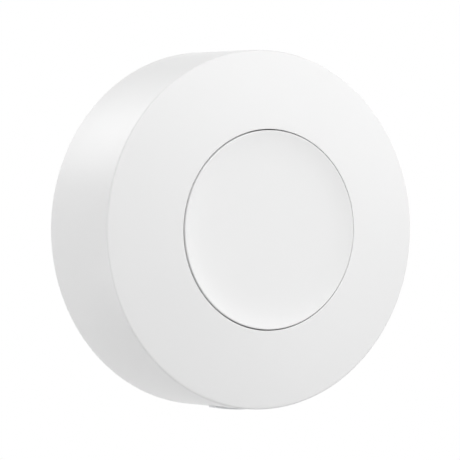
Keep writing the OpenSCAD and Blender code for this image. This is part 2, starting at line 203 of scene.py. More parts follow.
def close_up(piece):
    """Merge the doubles, turn the normals outwards and smooth all but the sharp edges."""
    bpy.ops.mesh.select_all(action="SELECT")
    bpy.ops.mesh.remove_doubles(threshold=MERGE)
    bpy.ops.mesh.normals_make_consistent(inside=False)
    bpy.ops.object.mode_set(mode="OBJECT")
    bpy.ops.object.shade_smooth_by_angle(angle=SHARP_ANGLE)
    size = [round(v / MM, 2) for v in piece.dimensions]
    print(piece.name, "faces:", len(piece.data.polygons), "size in mm:", size)


def turn(name, outline, steps=TURN_STEPS):
    """A piece turned from an outline of (radius, depth) points."""
    piece = draw_outline(name, outline)
    bpy.ops.mesh.select_all(action="SELECT")
    bpy.ops.mesh.spin(steps=steps, angle=math.tau, center=(0, 0, 0), axis=(0, 1, 0))
    close_up(piece)
    return piece


# %% [markdown]
# ## Part of a turn
# The light window, the lugs and the ledges are stretches of a ring. They could be cut out of a whole
# ring, but it is simpler to take them off the same lathe: a closed outline is turned through a few
# degrees only and then filled at both ends.

# %% Stretches of a ring
def sweep(name, outline, start, stop, steps):
    """A stretch of a ring with the given closed outline, between two angles in degrees."""
    piece = draw_outline(name, outline + outline[:1])
    bpy.ops.mesh.select_all(action="SELECT")
    bpy.ops.mesh.remove_doubles(threshold=MERGE)
    bpy.ops.object.mode_set(mode="OBJECT")
    piece.rotation_euler.y = -math.radians(start)
    bpy.ops.object.transform_apply(location=False, rotation=True, scale=False)
    bpy.ops.object.mode_set(mode="EDIT")
    bpy.ops.mesh.select_all(action="SELECT")
    bpy.ops.mesh.spin(steps=steps, angle=math.radians(stop - start), center=(0, 0, 0), axis=(0, 1, 0))
    bpy.ops.mesh.select_all(action="SELECT")
    bpy.ops.mesh.fill_holes(sides=0)
    close_up(piece)
    return piece


# %% [markdown]
# ## Copies round the axis, and joining
# What repeats round the axis is made once, at the right-hand side, and copied to its angles, which run
# anticlockwise seen from the front. Boolean modifiers then join such features to a piece or cut them
# out of it. They are applied at once, so that each later step finds plain faces.

# %% Copies and joining
def copy_round(piece, angles):
    """Copies of a piece turned to each angle in degrees, joined into one mesh that takes its place."""
    turned = []
    for angle in angles:
        pick(piece)
        bpy.ops.object.duplicate()
        bpy.context.object.rotation_euler.y = -math.radians(angle)
        bpy.ops.object.transform_apply(location=False, rotation=True, scale=False)
        turned.append(bpy.context.object)
    pick(piece)
    bpy.ops.object.delete()
    pick(*turned)
    if len(turned) > 1:
        bpy.ops.object.join()
    return turned[0]


def combine(piece, tool, operation):
    """Join a tool to a piece, or cut it away, with a Boolean that is applied at once."""
    pick(piece)
    boolean = piece.modifiers.new(operation.lower(), "BOOLEAN")
    boolean.operation = operation
    boolean.solver = "MANIFOLD"
    boolean.object = tool
    bpy.ops.object.modifier_apply(modifier=boolean.name)
    bpy.ops.object.shade_smooth_by_angle(angle=SHARP_ANGLE)
    print(piece.name, operation.lower(), tool.name, "faces:", len(piece.data.polygons))
    pick(tool)
    bpy.ops.object.delete()


# %% [markdown]
# ## Bars and rods
# Bosses, keys, notches and the parts on the circuit board start as a bar or a rod of the right size in
# the right place. The scale and the turn are applied, so that a bevel is as wide on every side.

# %% Bars and rods
def bar(name, low, high):
    """A square bar between two corners given as (radius, depth, height)."""
    bpy.ops.object.select_all(action="DESELECT")
    centre = [(a + b) / 2 for a, b in zip(low, high)]
    bpy.ops.mesh.primitive_cube_add(size=1, location=(centre[0], -centre[1], centre[2]))
    piece = bpy.context.object
    piece.name = piece.data.name = name
    piece.scale = [b - a for a, b in zip(low, high)]
    bpy.ops.object.transform_apply(location=True, rotation=True, scale=True)
    return piece


def rod(name, r, depths, at=0, sides=48):
    """A round rod between two depths, whose axis stands at the distance at to the right."""
    bpy.ops.object.select_all(action="DESELECT")
    half_way = -(depths[0] + depths[1]) / 2
    bpy.ops.mesh.primitive_cylinder_add(vertices=sides, radius=r, depth=depths[1] - depths[0],
                                        location=(at, half_way, 0), rotation=(math.pi / 2, 0, 0))
    piece = bpy.context.object
    piece.name = piece.data.name = name
    bpy.ops.object.transform_apply(location=True, rotation=True, scale=True)
    return piece


# %% [markdown]
# ## Front housing
# The side wall and the crowned front are one moulding. It could be a cylinder with a scaled sphere for
# its front, but the lathe makes it in one closed skin: the outline runs up the side wall, round the
# crisp front edge, over the crown to the opening, down the guide collar and back along the inside.

# %% Measures of the front housing
edge_r = 0.26 * MM
rear_edge_r = 0.12 * MM
lip_r = 0.07 * MM
inner_r = outer_r - 1.6 * MM
collar_r = gap_r + 1.5 * MM
collar_depth = face_depth - 2 * MM
crown_t = 1.5 * MM
window_low, window_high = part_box("status_window")
window_h = 1.5 * MM
window_depth = -(window_low.y + window_high.y) / 2
opening_r = gap_r + gap_w / 2
slot_depths = [window_depth - window_h / 2, window_depth + window_h / 2]
print("wall in mm:", round((outer_r - inner_r) / MM, 2), "opening in mm:", round(opening_r / MM, 3))


# %% Front housing
def crown_points(r0, r1, lower, steps):
    """Points of the crown between two radii, lowered towards the wall."""
    radii = [r0 + (r1 - r0) * i / steps for i in range(steps + 1)]
    return [(r, edge_depth + crown_rise(r) - lower) for r in radii]


front_tilt = math.degrees(math.asin((outer_r - edge_r) / crown_r))
lip_tilt = math.degrees(math.asin(opening_r / crown_r))
front_centre = (outer_r - edge_r, edge_depth + crown_rise(outer_r - edge_r) - edge_r)
lip_centre = (opening_r + lip_r, edge_depth + crown_rise(opening_r + lip_r) - lip_r)
housing_outline = (
    [(inner_r, slot_depths[0]), (inner_r, rim_depth)]
    + arc((outer_r - rear_edge_r, rim_depth + rear_edge_r), rear_edge_r, -90, 0, 6)
    + [(outer_r, d) for d in slot_depths]
    + arc(front_centre, edge_r, 0, 90 - front_tilt, 8)
    + crown_points(outer_r - edge_r, opening_r + lip_r, 0, 28)[1:-1]
    + arc(lip_centre, lip_r, 90 - lip_tilt, 180, 6)
    + [(opening_r, collar_depth), (collar_r, collar_depth)]
    + crown_points(collar_r, inner_r, crown_t, 12)
    + [(inner_r, slot_depths[1]), (inner_r, slot_depths[0])]
)
housing = turn("front_housing_shell", housing_outline)

# %% [markdown]
# ## Button cap
# The cap is a shallow dish for the finger tip. A sphere cut out of a disc would make a dish too, but
# one that slopes everywhere. This one has a flat floor, and from there a cubic curve rises ever more
# steeply to the rim, so the light changes slowly across it. The rim stands a hair proud of the lip of
# the opening, and a thin gap all round lets the cap move.

# %% Measures of the button cap
cap_r = gap_r - gap_w / 2
cap_edge_r = 0.1 * MM
dish_depth = 0.4 * MM
dish_floor_r = 6.5 * MM
cap_under_depth = face_depth - dish_depth - 1.3 * MM
cap_skirt_r = cap_r - 1.2 * MM
flange_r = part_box("button_cap")[1].x
flange_depths = (collar_depth - 0.9 * MM, collar_depth - 0.1 * MM)
post_r, post_depth = 1.5 * MM, -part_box("switch_plunger")[0].y + 0.02 * MM
print("cap radius in mm:", round(cap_r / MM, 3), "dish depth in mm:", round(dish_depth / MM, 2))

# %% Button cap
DISH_POWER = 3
dish_w = cap_r - cap_edge_r - dish_floor_r
rim_tilt = math.atan(DISH_POWER * dish_depth / dish_w)
dish_w -= cap_edge_r * math.sin(rim_tilt)
floor_depth = cap_top - dish_depth
dish_rise = dish_depth - cap_edge_r * (1 - math.cos(rim_tilt))
DISH_STEPS = 24
dish_shares = [1 - i / DISH_STEPS for i in range(1, DISH_STEPS + 1)]
dish_curve = [(dish_floor_r + dish_w * u, floor_depth + dish_rise * u ** DISH_POWER) for u in dish_shares]
cap_outline = (
    [(0, post_depth), (post_r, post_depth), (post_r, cap_under_depth), (cap_skirt_r, cap_under_depth),
     (cap_skirt_r, flange_depths[0]), (flange_r, flange_depths[0]), (flange_r, flange_depths[1]),
     (cap_r, flange_depths[1])]
    + arc((cap_r - cap_edge_r, cap_top - cap_edge_r), cap_edge_r, 0, 90 + math.degrees(rim_tilt), 8)
    + dish_curve
    + [(dish_floor_r / 2, floor_depth), (0, floor_depth)]
)
cap = turn("button_cap_dished", cap_outline)

# %% [markdown]
# ## Slot for the status light
# A narrow slot at the bottom of the side wall lets the light window through. A Boolean would cut it, but
# there is a cleaner way. The outline has a point at each edge of the slot and the lathe made a face
# per degree, so the slot is a patch of whole faces: they are deleted on the outside and the inside,
# and the two holes are bridged.

# %% Slot for the status light
SLOT_HALF_ANGLE = 10


def in_slot(point):
    """True for the middle of a face of the wall that lies in the slot."""
    r = math.hypot(point.x, point.z)
    on_wall = min(abs(r - outer_r), abs(r - inner_r)) < 0.1 * MM
    in_height = slot_depths[0] < -point.y < slot_depths[1]
    return on_wall and in_height and abs(math.degrees(math.atan2(point.x, -point.z))) < SLOT_HALF_ANGLE


pick_faces(housing, in_slot)
bpy.ops.mesh.delete(type="FACE")
bpy.ops.mesh.select_mode(type="EDGE")
bpy.ops.mesh.select_non_manifold()
bpy.ops.mesh.bridge_edge_loops()
close_up(housing)

# %% [markdown]
# ## Screw bosses
# Three bosses inside the housing take the screws that hold the board. A boss is a rod whose foot is
# inset and pushed in, which leaves the pilot hole for its screw. A second rod could be cut away
# instead, but the inset keeps the rim of the hole the same width all round.

# %% Screw bosses
BOSS_ANGLES = (90, 210, 330)
boss_r, boss_ring_r = 1.8 * MM, 15.9 * MM
boss_foot = -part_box("circuit_board")[0].y
boss_top = edge_depth + crown_rise(boss_ring_r) - crown_t / 2
pilot_r, pilot_l = 0.77 * MM, 2.7 * MM

boss = rod("boss", boss_r, (boss_foot, boss_top), boss_ring_r)
pick_faces(boss, lambda point: -point.y < boss_foot + MERGE)
bpy.ops.mesh.inset(thickness=boss_r - pilot_r)
bpy.ops.mesh.extrude_region_move(TRANSFORM_OT_translate={"value": (0, -pilot_l, 0)})
bpy.ops.object.mode_set(mode="OBJECT")
combine(housing, copy_round(boss, BOSS_ANGLES), "UNION")

# %% [markdown]
# ## Ledges and stop ribs
# The housing hangs on the wall base like a bayonet. When it is turned, the base's lugs slip behind three
# ledges, and a small rib beside each ledge ends the turn. All of them are short stretches of a ring with
# square corners, so one helper sweeps both, deep enough into the wall to join it well.

# %% Ledges and stop ribs
LEDGE_ANGLES = (-13, 15)
STOP_ANGLES = (11.5, 14.5)
ledge_r, ledge_depths = 17 * MM, (2.1 * MM, 3.1 * MM)
stop_r, stop_top = 17.1 * MM, -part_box("base_plate")[0].y
in_wall = inner_r + 0.6 * MM


def square_line(r0, r1, depths):
    """An outline with four square corners, between two radii and two depths."""
    return [(r0, depths[0]), (r1, depths[0]), (r1, depths[1]), (r0, depths[1])]


def rail(name, r, depths, angles):
    """A stretch of a ring that stands on the inside of the wall."""
    return sweep(name, square_line(r, in_wall, depths), *angles, 16)


combine(housing, copy_round(rail("ledge", ledge_r, ledge_depths, LEDGE_ANGLES), BOSS_ANGLES), "UNION")
stop_depths = (ledge_depths[0] + 0.1 * MM, stop_top)
combine(housing, copy_round(rail("stop", stop_r, stop_depths, STOP_ANGLES), BOSS_ANGLES), "UNION")

# %% [markdown]
# ## Ribs and slots that keep the cap straight
# A round cap would turn in its opening, so three ribs under the collar run in three slots of the cap's
# flange. The same bar makes both, a little wider for the slots: it is joined to the housing and cut
# out of the cap, and so the two are sure to fit.

# %% Ribs and slots that keep the cap straight
KEY_ANGLES = (30, 150, 270)
key_w, key_slack = 1.6 * MM, 0.1 * MM
key_low = (opening_r + 0.1 * MM, flange_depths[0], -key_w / 2)
key_high = (collar_r - 0.02 * MM, collar_depth + 0.3 * MM, key_w / 2)
combine(housing, copy_round(bar("key", key_low, key_high), KEY_ANGLES), "UNION")
slot_low = (cap_r + 0.08 * MM, flange_depths[0] - 0.2 * MM, -key_w / 2 - key_slack)
slot_high = (flange_r + MM, flange_depths[1] + 0.2 * MM, key_w / 2 + key_slack)
combine(cap, copy_round(bar("key_slot", slot_low, slot_high), KEY_ANGLES), "DIFFERENCE")

# %% [markdown]
# ## Light window
# A frosted bar fills the slot and stands a little proud of the wall. Its outer edges are rounded
# by a hair, and a flange on the inside stops it from being pushed out. A block bent round the wall
# would look alike, but a swept outline follows the wall's radius exactly.

# %% Light window
window_outer_r = -window_low.z
window_inner_r = 16.6 * MM
window_slack = 0.02 * MM
window_edge_r = 0.06 * MM
flange_r1 = inner_r - 0.05 * MM
flange_r0 = flange_r1 - 0.9 * MM
window_d0, window_d1 = slot_depths[0] + window_slack, slot_depths[1] - window_slack
window_outline = (
    [(window_inner_r, window_d0), (flange_r0, window_d0), (flange_r0, -window_high.y),
     (flange_r1, -window_high.y), (flange_r1, window_d0)]
    + arc((window_outer_r - window_edge_r, window_d0 + window_edge_r), window_edge_r, -90, 0, 4)
    + arc((window_outer_r - window_edge_r, window_d1 - window_edge_r), window_edge_r, 0, 90, 4)
    + [(flange_r1, window_d1), (flange_r1, -window_low.y), (flange_r0, -window_low.y),
       (flange_r0, window_d1), (window_inner_r, window_d1)]
)
window_half = SLOT_HALF_ANGLE - math.degrees(window_slack / outer_r)
window = sweep("status_window_bar", window_outline, 270 - window_half, 270 + window_half, 40)

# %% [markdown]
# ## Wall base
# The base is a flat plate with a ring on its front that carries the locking lugs. Seen from the
# back it is a plain disc with a shallow recess for the round pad of foam tape. All of that is round, so
# it is one outline for the lathe, and only the lugs and notches are added afterwards.

# %% Wall base
base_low, base_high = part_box("base_plate")
base_r, base_back = base_high.x, -base_high.y
base_edge_r = 0.2 * MM
base_front = base_back + 1.5 * MM
recess_r, recess_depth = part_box("adhesive_pad")[1].x + 0.1 * MM, base_back + 0.5 * MM
ring_r0, ring_r1, ring_front = 15.6 * MM, 16.8 * MM, -base_low.y
base_outline = (
    [(0, recess_depth), (recess_r, recess_depth)]
    + arc((recess_r + base_edge_r, base_back + base_edge_r), base_edge_r, 180, 270, 4)
    + arc((base_r - base_edge_r, base_back + base_edge_r), base_edge_r, -90, 0, 4)
    + [(base_r, base_front), (ring_r1, base_front), (ring_r1, ring_front), (ring_r0, ring_front),
       (ring_r0, base_front), (0, base_front)]
)
base = turn("base_plate_moulded", base_outline)

# %% [markdown]
# ## Lugs and finger notches
# Three lugs stand out from the ring, each with a slanted front edge that helps it to slide behind its
# ledge. Two notches in the rim give a finger nail a hold when base and housing are parted. A lug is
# swept, as the ledges were. A notch is a bar whose front face is bevelled, so that its cut ends in a
# soft hollow.

# %% Lugs of the base
LUG_ANGLES = (-11, 11)
lug_r, lug_h = 18.1 * MM, 1 * MM
lug_foot_r, lug_front = ring_r1 - 0.4 * MM, ring_front - 0.02 * MM
lug_outline = [(lug_foot_r, ring_front - lug_h), (lug_r, ring_front - lug_h),
               (lug_r, ring_front - 0.15 * MM), (lug_r - 0.3 * MM, lug_front), (lug_foot_r, lug_front)]
combine(base, copy_round(sweep("lug", lug_outline, *LUG_ANGLES, 22), BOSS_ANGLES), "UNION")

# %% Finger notches of the base
notch_w, notch_t, notch_r = 5 * MM, 0.75 * MM, 16.8 * MM
notch = bar("notch", (notch_r, base_back - MM, -notch_w / 2),
            (base_r + MM, base_back + notch_t, notch_w / 2))
pick_faces(notch, lambda point: -point.y > base_back + notch_t - MERGE)
bpy.ops.mesh.bevel(offset=0.3 * MM, segments=4)
bpy.ops.object.mode_set(mode="OBJECT")
combine(base, copy_round(notch, (0, 180)), "DIFFERENCE")

# %% [markdown]
# ## Adhesive pad
# The pad is a disc of double-sided foam tape. It is punched out of a sheet, which leaves its edges a
# little soft. A bevelled disc would do as well, and an outline with two rounded corners is as short.

# %% Adhesive pad
pad_low, pad_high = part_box("adhesive_pad")
pad_r, pad_front = pad_high.x, -pad_low.y
pad_edge_r = 0.15 * MM
pad_outline = (
    [(0, 0)]
    + arc((pad_r - pad_edge_r, pad_edge_r), pad_edge_r, -90, 0, 5)
    + arc((pad_r - pad_edge_r, pad_front - pad_edge_r), pad_edge_r, 0, 90, 5)
    + [(0, pad_front)]
)
pad = turn("adhesive_pad_foam", pad_outline)

# %% [markdown]
# ## Inside: soft-edged blocks
# The parts on the circuit board are small blocks, and no real block has razor edges. A bevel modifier
# could stay live on each of them, but here the bevel is made in edit mode, only on the edges that are
# sharp. Weighted normals then keep the large faces flat to the eye.

# %% Blocks
def mm(*values):
    """Lengths in millimetres, as metres."""
    return tuple(value * MM for value in values)


def corners(solid):
    """The lowest and the highest corner of a solid, as (x, depth, z)."""
    low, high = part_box(solid)
    return (low.x, -high.y, low.z), (high.x, -low.y, high.z)


def flatten_look(piece):
    """Let the large flat faces rule the shading, so that they look flat up to their rounded edges."""
    pick(piece)
    weigh = piece.modifiers.new("weigh", "WEIGHTED_NORMAL")
    weigh.keep_sharp = True
    bpy.ops.object.modifier_apply(modifier="weigh")
    return piece


def soften(piece, edge):
    """Clear the needless edges of flat faces and round off the sharp edges of a piece."""
    pick(piece)
    bpy.ops.object.mode_set(mode="EDIT")
    bpy.ops.mesh.select_mode(type="EDGE")
    bpy.ops.mesh.select_all(action="SELECT")
    bpy.ops.mesh.dissolve_limited(angle_limit=math.radians(0.5))
    bpy.ops.mesh.select_all(action="DESELECT")
    bpy.ops.mesh.edges_select_sharp(sharpness=SHARP_ANGLE)
    bpy.ops.mesh.bevel(offset=edge, segments=3, affect="EDGES", clamp_overlap=True)
    close_up(piece)
    return flatten_look(piece)


def block(name, low, high, edge):
    """A block with rounded edges between two corners given as (x, depth, z)."""
    return soften(bar(name, low, high), edge)


# %% [markdown]
# ## Rows and joined pieces
# Many of the parts stand in rows. One of them is modelled and an array modifier repeats it. The modifier
# is applied, because the pieces of one finish are then joined into a single mesh.

# %% Rows and joined pieces
def row(piece, count, step):
    """A piece repeated in a row, each copy one step (x, depth, z) further on."""
    pick(piece)
    array = piece.modifiers.new("row", "ARRAY")
    array.count = count
    array.use_relative_offset = False
    array.use_constant_offset = True
    array.constant_offset_displace = (step[0], -step[1], step[2])
    bpy.ops.object.modifier_apply(modifier="row")
    print(piece.name, "in a row of", count)
    return piece


def join(*pieces):
    """Several pieces as one, under the first one's name."""
    pick(*pieces)
    bpy.ops.object.join()
    return pieces[0]


# %% [markdown]
# ## Bent strips
# Contacts, legs and clips are stamped from sheet metal and bent. A curve with a thickness would do, but
# its bends are hard to hold to a size. Here a strip starts as a line with eased bends, is drawn out
# to its width, and gets the thickness of the sheet from a solidify modifier.

# %% Bent strips
def rounded(points, reach, steps=6):
    """A line through the points whose corners are eased over a reach on both sides."""
    line = [points[0]]
    for before, corner, after in zip(points, points[1:], points[2:]):
        p0, p1, p2 = Vector(before), Vector(corner), Vector(after)
        a = p1 + (p0 - p1).normalized() * reach
        b = p1 + (p2 - p1).normalized() * reach
        for i in range(steps + 1):
            s = i / steps
            line.append(tuple(a * (1 - s) ** 2 + p1 * 2 * s * (1 - s) + b * s ** 2))
    return line + [points[-1]]


def strip(name, points, reach, thickness, z0, z1):
    """A bent strip of sheet metal: its middle line of (x, depth) points, from height z0 to z1."""
    piece = draw_outline(name, rounded(points, reach))
    bpy.ops.mesh.select_all(action="SELECT")
    bpy.ops.transform.translate(value=(0, 0, z0))
    bpy.ops.mesh.extrude_edges_move(TRANSFORM_OT_translate={"value": (0, 0, z1 - z0)})
    bpy.ops.object.mode_set(mode="OBJECT")
    sheet = piece.modifiers.new("sheet", "SOLIDIFY")
    sheet.thickness = thickness
    sheet.offset = 0
    bpy.ops.object.modifier_apply(modifier="sheet")
    return soften(piece, thickness / 6)


# %% [markdown]
# ## Circuit board
# The board is a disc off the lathe, cut straight at the bottom to leave room for the light window
# and drilled for the three screws. The holes come last, after the edges are softened, because a drill
# leaves a crisp edge in lacquered board.

# %% Circuit board
board_low, board_high = corners("circuit_board")
board_r, board_back, board_front = board_high[0], board_low[1], board_high[1]
drill_r = 0.95 * MM

board = turn("circuit_board_plate", square_line(0, board_r, (board_back, board_front)), 180)
below = bar("below", (-board_r, board_back - MM, -board_r - MM), (board_r, board_front + MM, board_low[2]))
combine(board, below, "DIFFERENCE")
soften(board, 0.06 * MM)
drill = rod("drill", drill_r, (board_back - MM, board_front + MM), boss_ring_r)
combine(board, copy_round(drill, BOSS_ANGLES), "DIFFERENCE")

# %% [markdown]
# ## Tracks
# Copper tracks run under the lacquer from part to part, straight or at an angle of 45 degrees. They
# could be painted by a texture, but real ones stand up a little and catch the light. Each starts as
# a line on the board, is drawn up to its height, and gets its width from a solidify modifier.

# %% How a track is made
TRACK_W, TRACK_T = 0.28 * MM, 0.03 * MM
SMALL_PITCH = 1.1 * MM


def track(points):
    """A copper track through (x, z) points in millimetres on the front of the board."""
    piece = draw_outline("board_tracks", [mm(*point) for point in points])
    bpy.ops.mesh.select_all(action="SELECT")
    bpy.ops.transform.rotate(value=math.radians(90), orient_axis="X", center_override=(0, 0, 0))
    bpy.ops.transform.translate(value=(0, -board_front, 0))
    bpy.ops.mesh.extrude_edges_move(TRANSFORM_OT_translate={"value": (0, -TRACK_T, 0)})
    bpy.ops.object.mode_set(mode="OBJECT")
    wide = piece.modifiers.new("wide", "SOLIDIFY")
    wide.thickness = TRACK_W
    wide.offset = 0
    wide.use_even_offset = True
    bpy.ops.object.modifier_apply(modifier="wide")
    bpy.ops.object.mode_set(mode="EDIT")
    close_up(piece)
    return piece


# %% Tracks
tracks_made = [
    track([(2.1, 4.13), (3, 4.13), (3.8, 3.33), (3.8, 2.8)]),
    track([(2.1, 4.55), (4, 4.55), (5.1, 3.45), (5.1, 1.05)]),
    track([(2.1, 4.97), (5, 4.97), (7.7, 2.27), (7.7, 1.05)]),
    track([(2.1, 6.65), (7.3, 6.65), (10.2, 3.75), (10.2, -3.2), (7.7, -5.7), (1.8, -5.7)]),
    track([(2.1, 6.23), (6.8, 6.23), (9.4, 3.63), (9.4, -2), (7.4, -4), (1.8, -4)]),
    track([(-2.1, 7.07), (-6, 7.07), (-8.4, 9.47), (-11.6, 9.47)]),
    track([(-2.1, 6.23), (-7.6, 6.23), (-10.4, 3.43), (-10.4, -3.3), (-8, -5.7), (-1.8, -5.7)]),
    track([(-2.1, 4.97), (-3.6, 4.97), (-4.87, 3.7), (-4.87, 3.1)]),
    track([(-0.8, -14.4), (-0.8, -9), (-1.3, -8.5), (-1.3, -6.3)]),
    track([(0.8, -14.4), (0.8, -10.5), (4.3, -7), (11, -7), (13, -5), (13, 3)]),
    row(track([(-6.3, -2.2), (-6.12, -2.2), (-5.85, -2.47)]), 5, (0, 0, SMALL_PITCH)),
    row(track([(-7.5, -2.2), (-9, -2.2)]), 5, (0, 0, SMALL_PITCH)),
]
ring_line = square_line(*mm(17, 17.3), (board_front, board_front + TRACK_T))
tracks_made.append(sweep("ring_track", ring_line, -62, 242, 152))
board_tracks = join(*tracks_made)

# %% [markdown]
# ## Solder pads and vias
# Where a part is soldered on, the lacquer leaves the copper free and it is tinned. A pad is a thin block
# with soft edges, made once and repeated along its row. Where a track changes to the other face there
# is a via, a plated eyelet: a tiny ring off the lathe, copied to the ends of those tracks.

# %% Solder pads
PAD_T = 0.035 * MM


def solder_pad(x0, x1, z0, z1):
    """A thin pad on the front of the board, in millimetres."""
    low = (x0 * MM, board_front, z0 * MM)
    high = (x1 * MM, board_front + PAD_T, z1 * MM)
    return block("solder_pad", low, high, 0.012 * MM)


tinned = [row(solder_pad(x, x + 0.45, -3.05, -2.45), 6, (0, 0, SMALL_PITCH)) for x in (-5.95, -5.1)]
tinned += [row(solder_pad(x, x + 0.45, -2.5, -1.9), 5, (0, 0, SMALL_PITCH)) for x in (-7.55, -6.7)]
tinned += [row(solder_pad(x, x + 1.3, -2.75, -1.75), 2, mm(0, 0, 4.5)) for x in (-4.45, 3.15)]
tinned += [row(solder_pad(x, x + 1, -6.25, -5.2), 2, mm(0, 0, 1.75)) for x in (-1.75, 0.75)]
tinned += [solder_pad(x, x + 1, -1, 1) for x in (4.6, 7.2)]

# %% Vias
eyelet_line = square_line(*mm(0.15, 0.32), (board_front, board_front + PAD_T))
eyelet = turn("via", eyelet_line + eyelet_line[:1], 24)
for x, z, count in ((-9, -2.2, 5), (-0.8, -14.4, 1), (0.8, -14.4, 1), (13, 3, 1)):
    pick(eyelet)
    bpy.ops.object.duplicate()
    via = bpy.context.object
    via.location = (x * MM, 0, z * MM)
    bpy.ops.object.transform_apply(location=True, rotation=True, scale=True)
    tinned.append(row(via, count, (0, 0, SMALL_PITCH)))
pick(eyelet)
bpy.ops.object.delete()

# %% [markdown]
# ## Radio chip
# The radio is a black moulded square with a shallow dimple that marks its first pin and a row of
# tinned pads along each side. The dimple is a real hollow, cut with a sphere, because a dark spot in
# the colour would not catch the light. One row of pads is made and turned to all four sides.

# %% Radio chip
chip_low, chip_high = corners("radio_chip")
chip_half, chip_z = chip_high[0], (chip_low[2] + chip_high[2]) / 2
chip_skin, pin_pitch, pin_count = 0.03 * MM, 0.42 * MM, 8
body_half = chip_half - chip_skin

chip = block("radio_chip_body", (-body_half, chip_low[1] + chip_skin, chip_z - body_half),
             (body_half, chip_high[1], chip_z + body_half), 0.05 * MM)
dimple_r, dimple_at = 0.5 * MM, 1.45 * MM
dimple_y = -chip_high[1] - 0.9 * dimple_r
bpy.ops.object.select_all(action="DESELECT")
bpy.ops.mesh.primitive_uv_sphere_add(segments=32, ring_count=16, radius=dimple_r,
                                     location=(-dimple_at, dimple_y, chip_z + dimple_at))
bpy.ops.object.transform_apply(location=True, rotation=True, scale=True)
combine(chip, bpy.context.object, "DIFFERENCE")
flatten_look(chip)

# %% Pads along the chip's sides
pin_z = -pin_pitch * (pin_count - 1) / 2
pin_l, pin_h, pin_half = 0.3 * MM, 0.22 * MM, 0.12 * MM
pin = block("pin", (chip_half - pin_l, board_front, pin_z - pin_half),
            (chip_half, board_front + pin_h, pin_z + pin_half), 0.02 * MM)
pins = copy_round(row(pin, pin_count, (0, 0, pin_pitch)), (0, 90, 180, 270))
pins.location.z = chip_z
bpy.ops.object.transform_apply(location=True, rotation=True, scale=True)
tinned.append(pins)

# %% [markdown]
# ## Crystal
# The crystal that sets the radio's pace sits in a ceramic tray under a welded metal lid. Two blocks
# could stand for it. Here the lid is a plate whose face is inset and drawn up, because that leaves
# the narrow flange on which such a lid is welded.

# %% Crystal
crystal_low, crystal_high = corners("crystal")
tray_front = crystal_low[1] + 0.35 * MM
tray = block("crystal_tray", crystal_low, (crystal_high[0], tray_front, crystal_high[2]), 0.06 * MM)
lid_in, flange_front = 0.12 * MM, tray_front + 0.1 * MM
lid = bar("crystal_lid", (crystal_low[0] + lid_in, tray_front - 0.02 * MM, crystal_low[2] + lid_in),
          (crystal_high[0] - lid_in, flange_front, crystal_high[2] - lid_in))
pick_faces(lid, lambda point: -point.y > flange_front - MERGE)
bpy.ops.mesh.inset(thickness=0.2 * MM)
lid_rise = (0, flange_front - crystal_high[1], 0)
bpy.ops.mesh.extrude_region_move(TRANSFORM_OT_translate={"value": lid_rise})
bpy.ops.object.mode_set(mode="OBJECT")
soften(lid, 0.05 * MM)

# %% [markdown]
# ## Small capacitors and resistors
# Small ceramic parts all have the same make-up: a bar with a tinned cap over each end. One part with two
# colours would show that, but caps that stand out by a hair also give it its outline. One is modelled
# and repeated down its column.

# %% Parts with tinned ends
def end_capped(name, low, high, cap_l, edge):
    """A ceramic bar between two corners, and the pair of tinned caps over its ends."""
    skin = 0.25 * edge
    body = block(name, [v + skin for v in low], [v - skin for v in high], edge)
    left = block("tinned_end", low, (low[0] + cap_l, high[1], high[2]), edge)
    right_end = block("tinned_end", (high[0] - cap_l, low[1], low[2]), high, edge)
    return body, join(left, right_end)


def column(solid, name, count):
    """The bodies and the ends of a column of small parts."""
    low, high = corners(solid)
    top = low[2] + 0.5 * MM
    body, ends = end_capped(name, low, (high[0], high[1], top), 0.25 * MM, 0.05 * MM)
    tinned.append(row(ends, count, (0, 0, SMALL_PITCH)))
    return row(body, count, (0, 0, SMALL_PITCH))


small_capacitors = column("chip_capacitors", "chip_capacitor_bodies", 6)
small_resistors = column("chip_resistors", "chip_resistor_bodies", 5)

# %% [markdown]
# ## Antenna
# The antenna is a longer bar of the same make-up. It sits aslant near the rim, as far from the metal of
# the cell as it can. It is made level, at the top of the board, with the same helper and then turned to
# its place, because blocks are easiest to make along the axes.

# %% Antenna
antenna_at, antenna_half, antenna_l = 15.09 * MM, 1 * MM, 5 * MM
antenna_front = corners("chip_antenna")[1][1]
antenna_low = (-antenna_l / 2, board_front, antenna_at - antenna_half)
antenna_high = (antenna_l / 2, antenna_front, antenna_at + antenna_half)
antenna, antenna_ends = end_capped("chip_antenna_body", antenna_low, antenna_high, 0.6 * MM, 0.08 * MM)
antenna = copy_round(antenna, (60,))
antenna.name = antenna.data.name = "chip_antenna_body"
tinned.append(copy_round(antenna_ends, (60,)))

# %% [markdown]
# ## Large capacitor
# The large capacitor feeds the radio while it sends. It is a moulded block that tapers to its face, so
# that it comes out of its mould, with a bent tab at each end. One face of a bar, made smaller, gives
# the taper, and the tab is a strip that is made once and turned to the other end.

# %% Large capacitor
bulk_low, bulk_high = corners("bulk_capacitor")
tab_t = 0.12 * MM
bulk = bar("bulk_capacitor_body", (bulk_low[0] + tab_t, bulk_low[1] + tab_t, bulk_low[2]),
           (bulk_high[0] - tab_t, bulk_high[1], bulk_high[2]))
pick_faces(bulk, lambda point: -point.y > bulk_high[1] - MERGE)
bpy.ops.transform.resize(value=(0.93, 1, 0.93))
bpy.ops.object.mode_set(mode="OBJECT")
soften(bulk, 0.08 * MM)

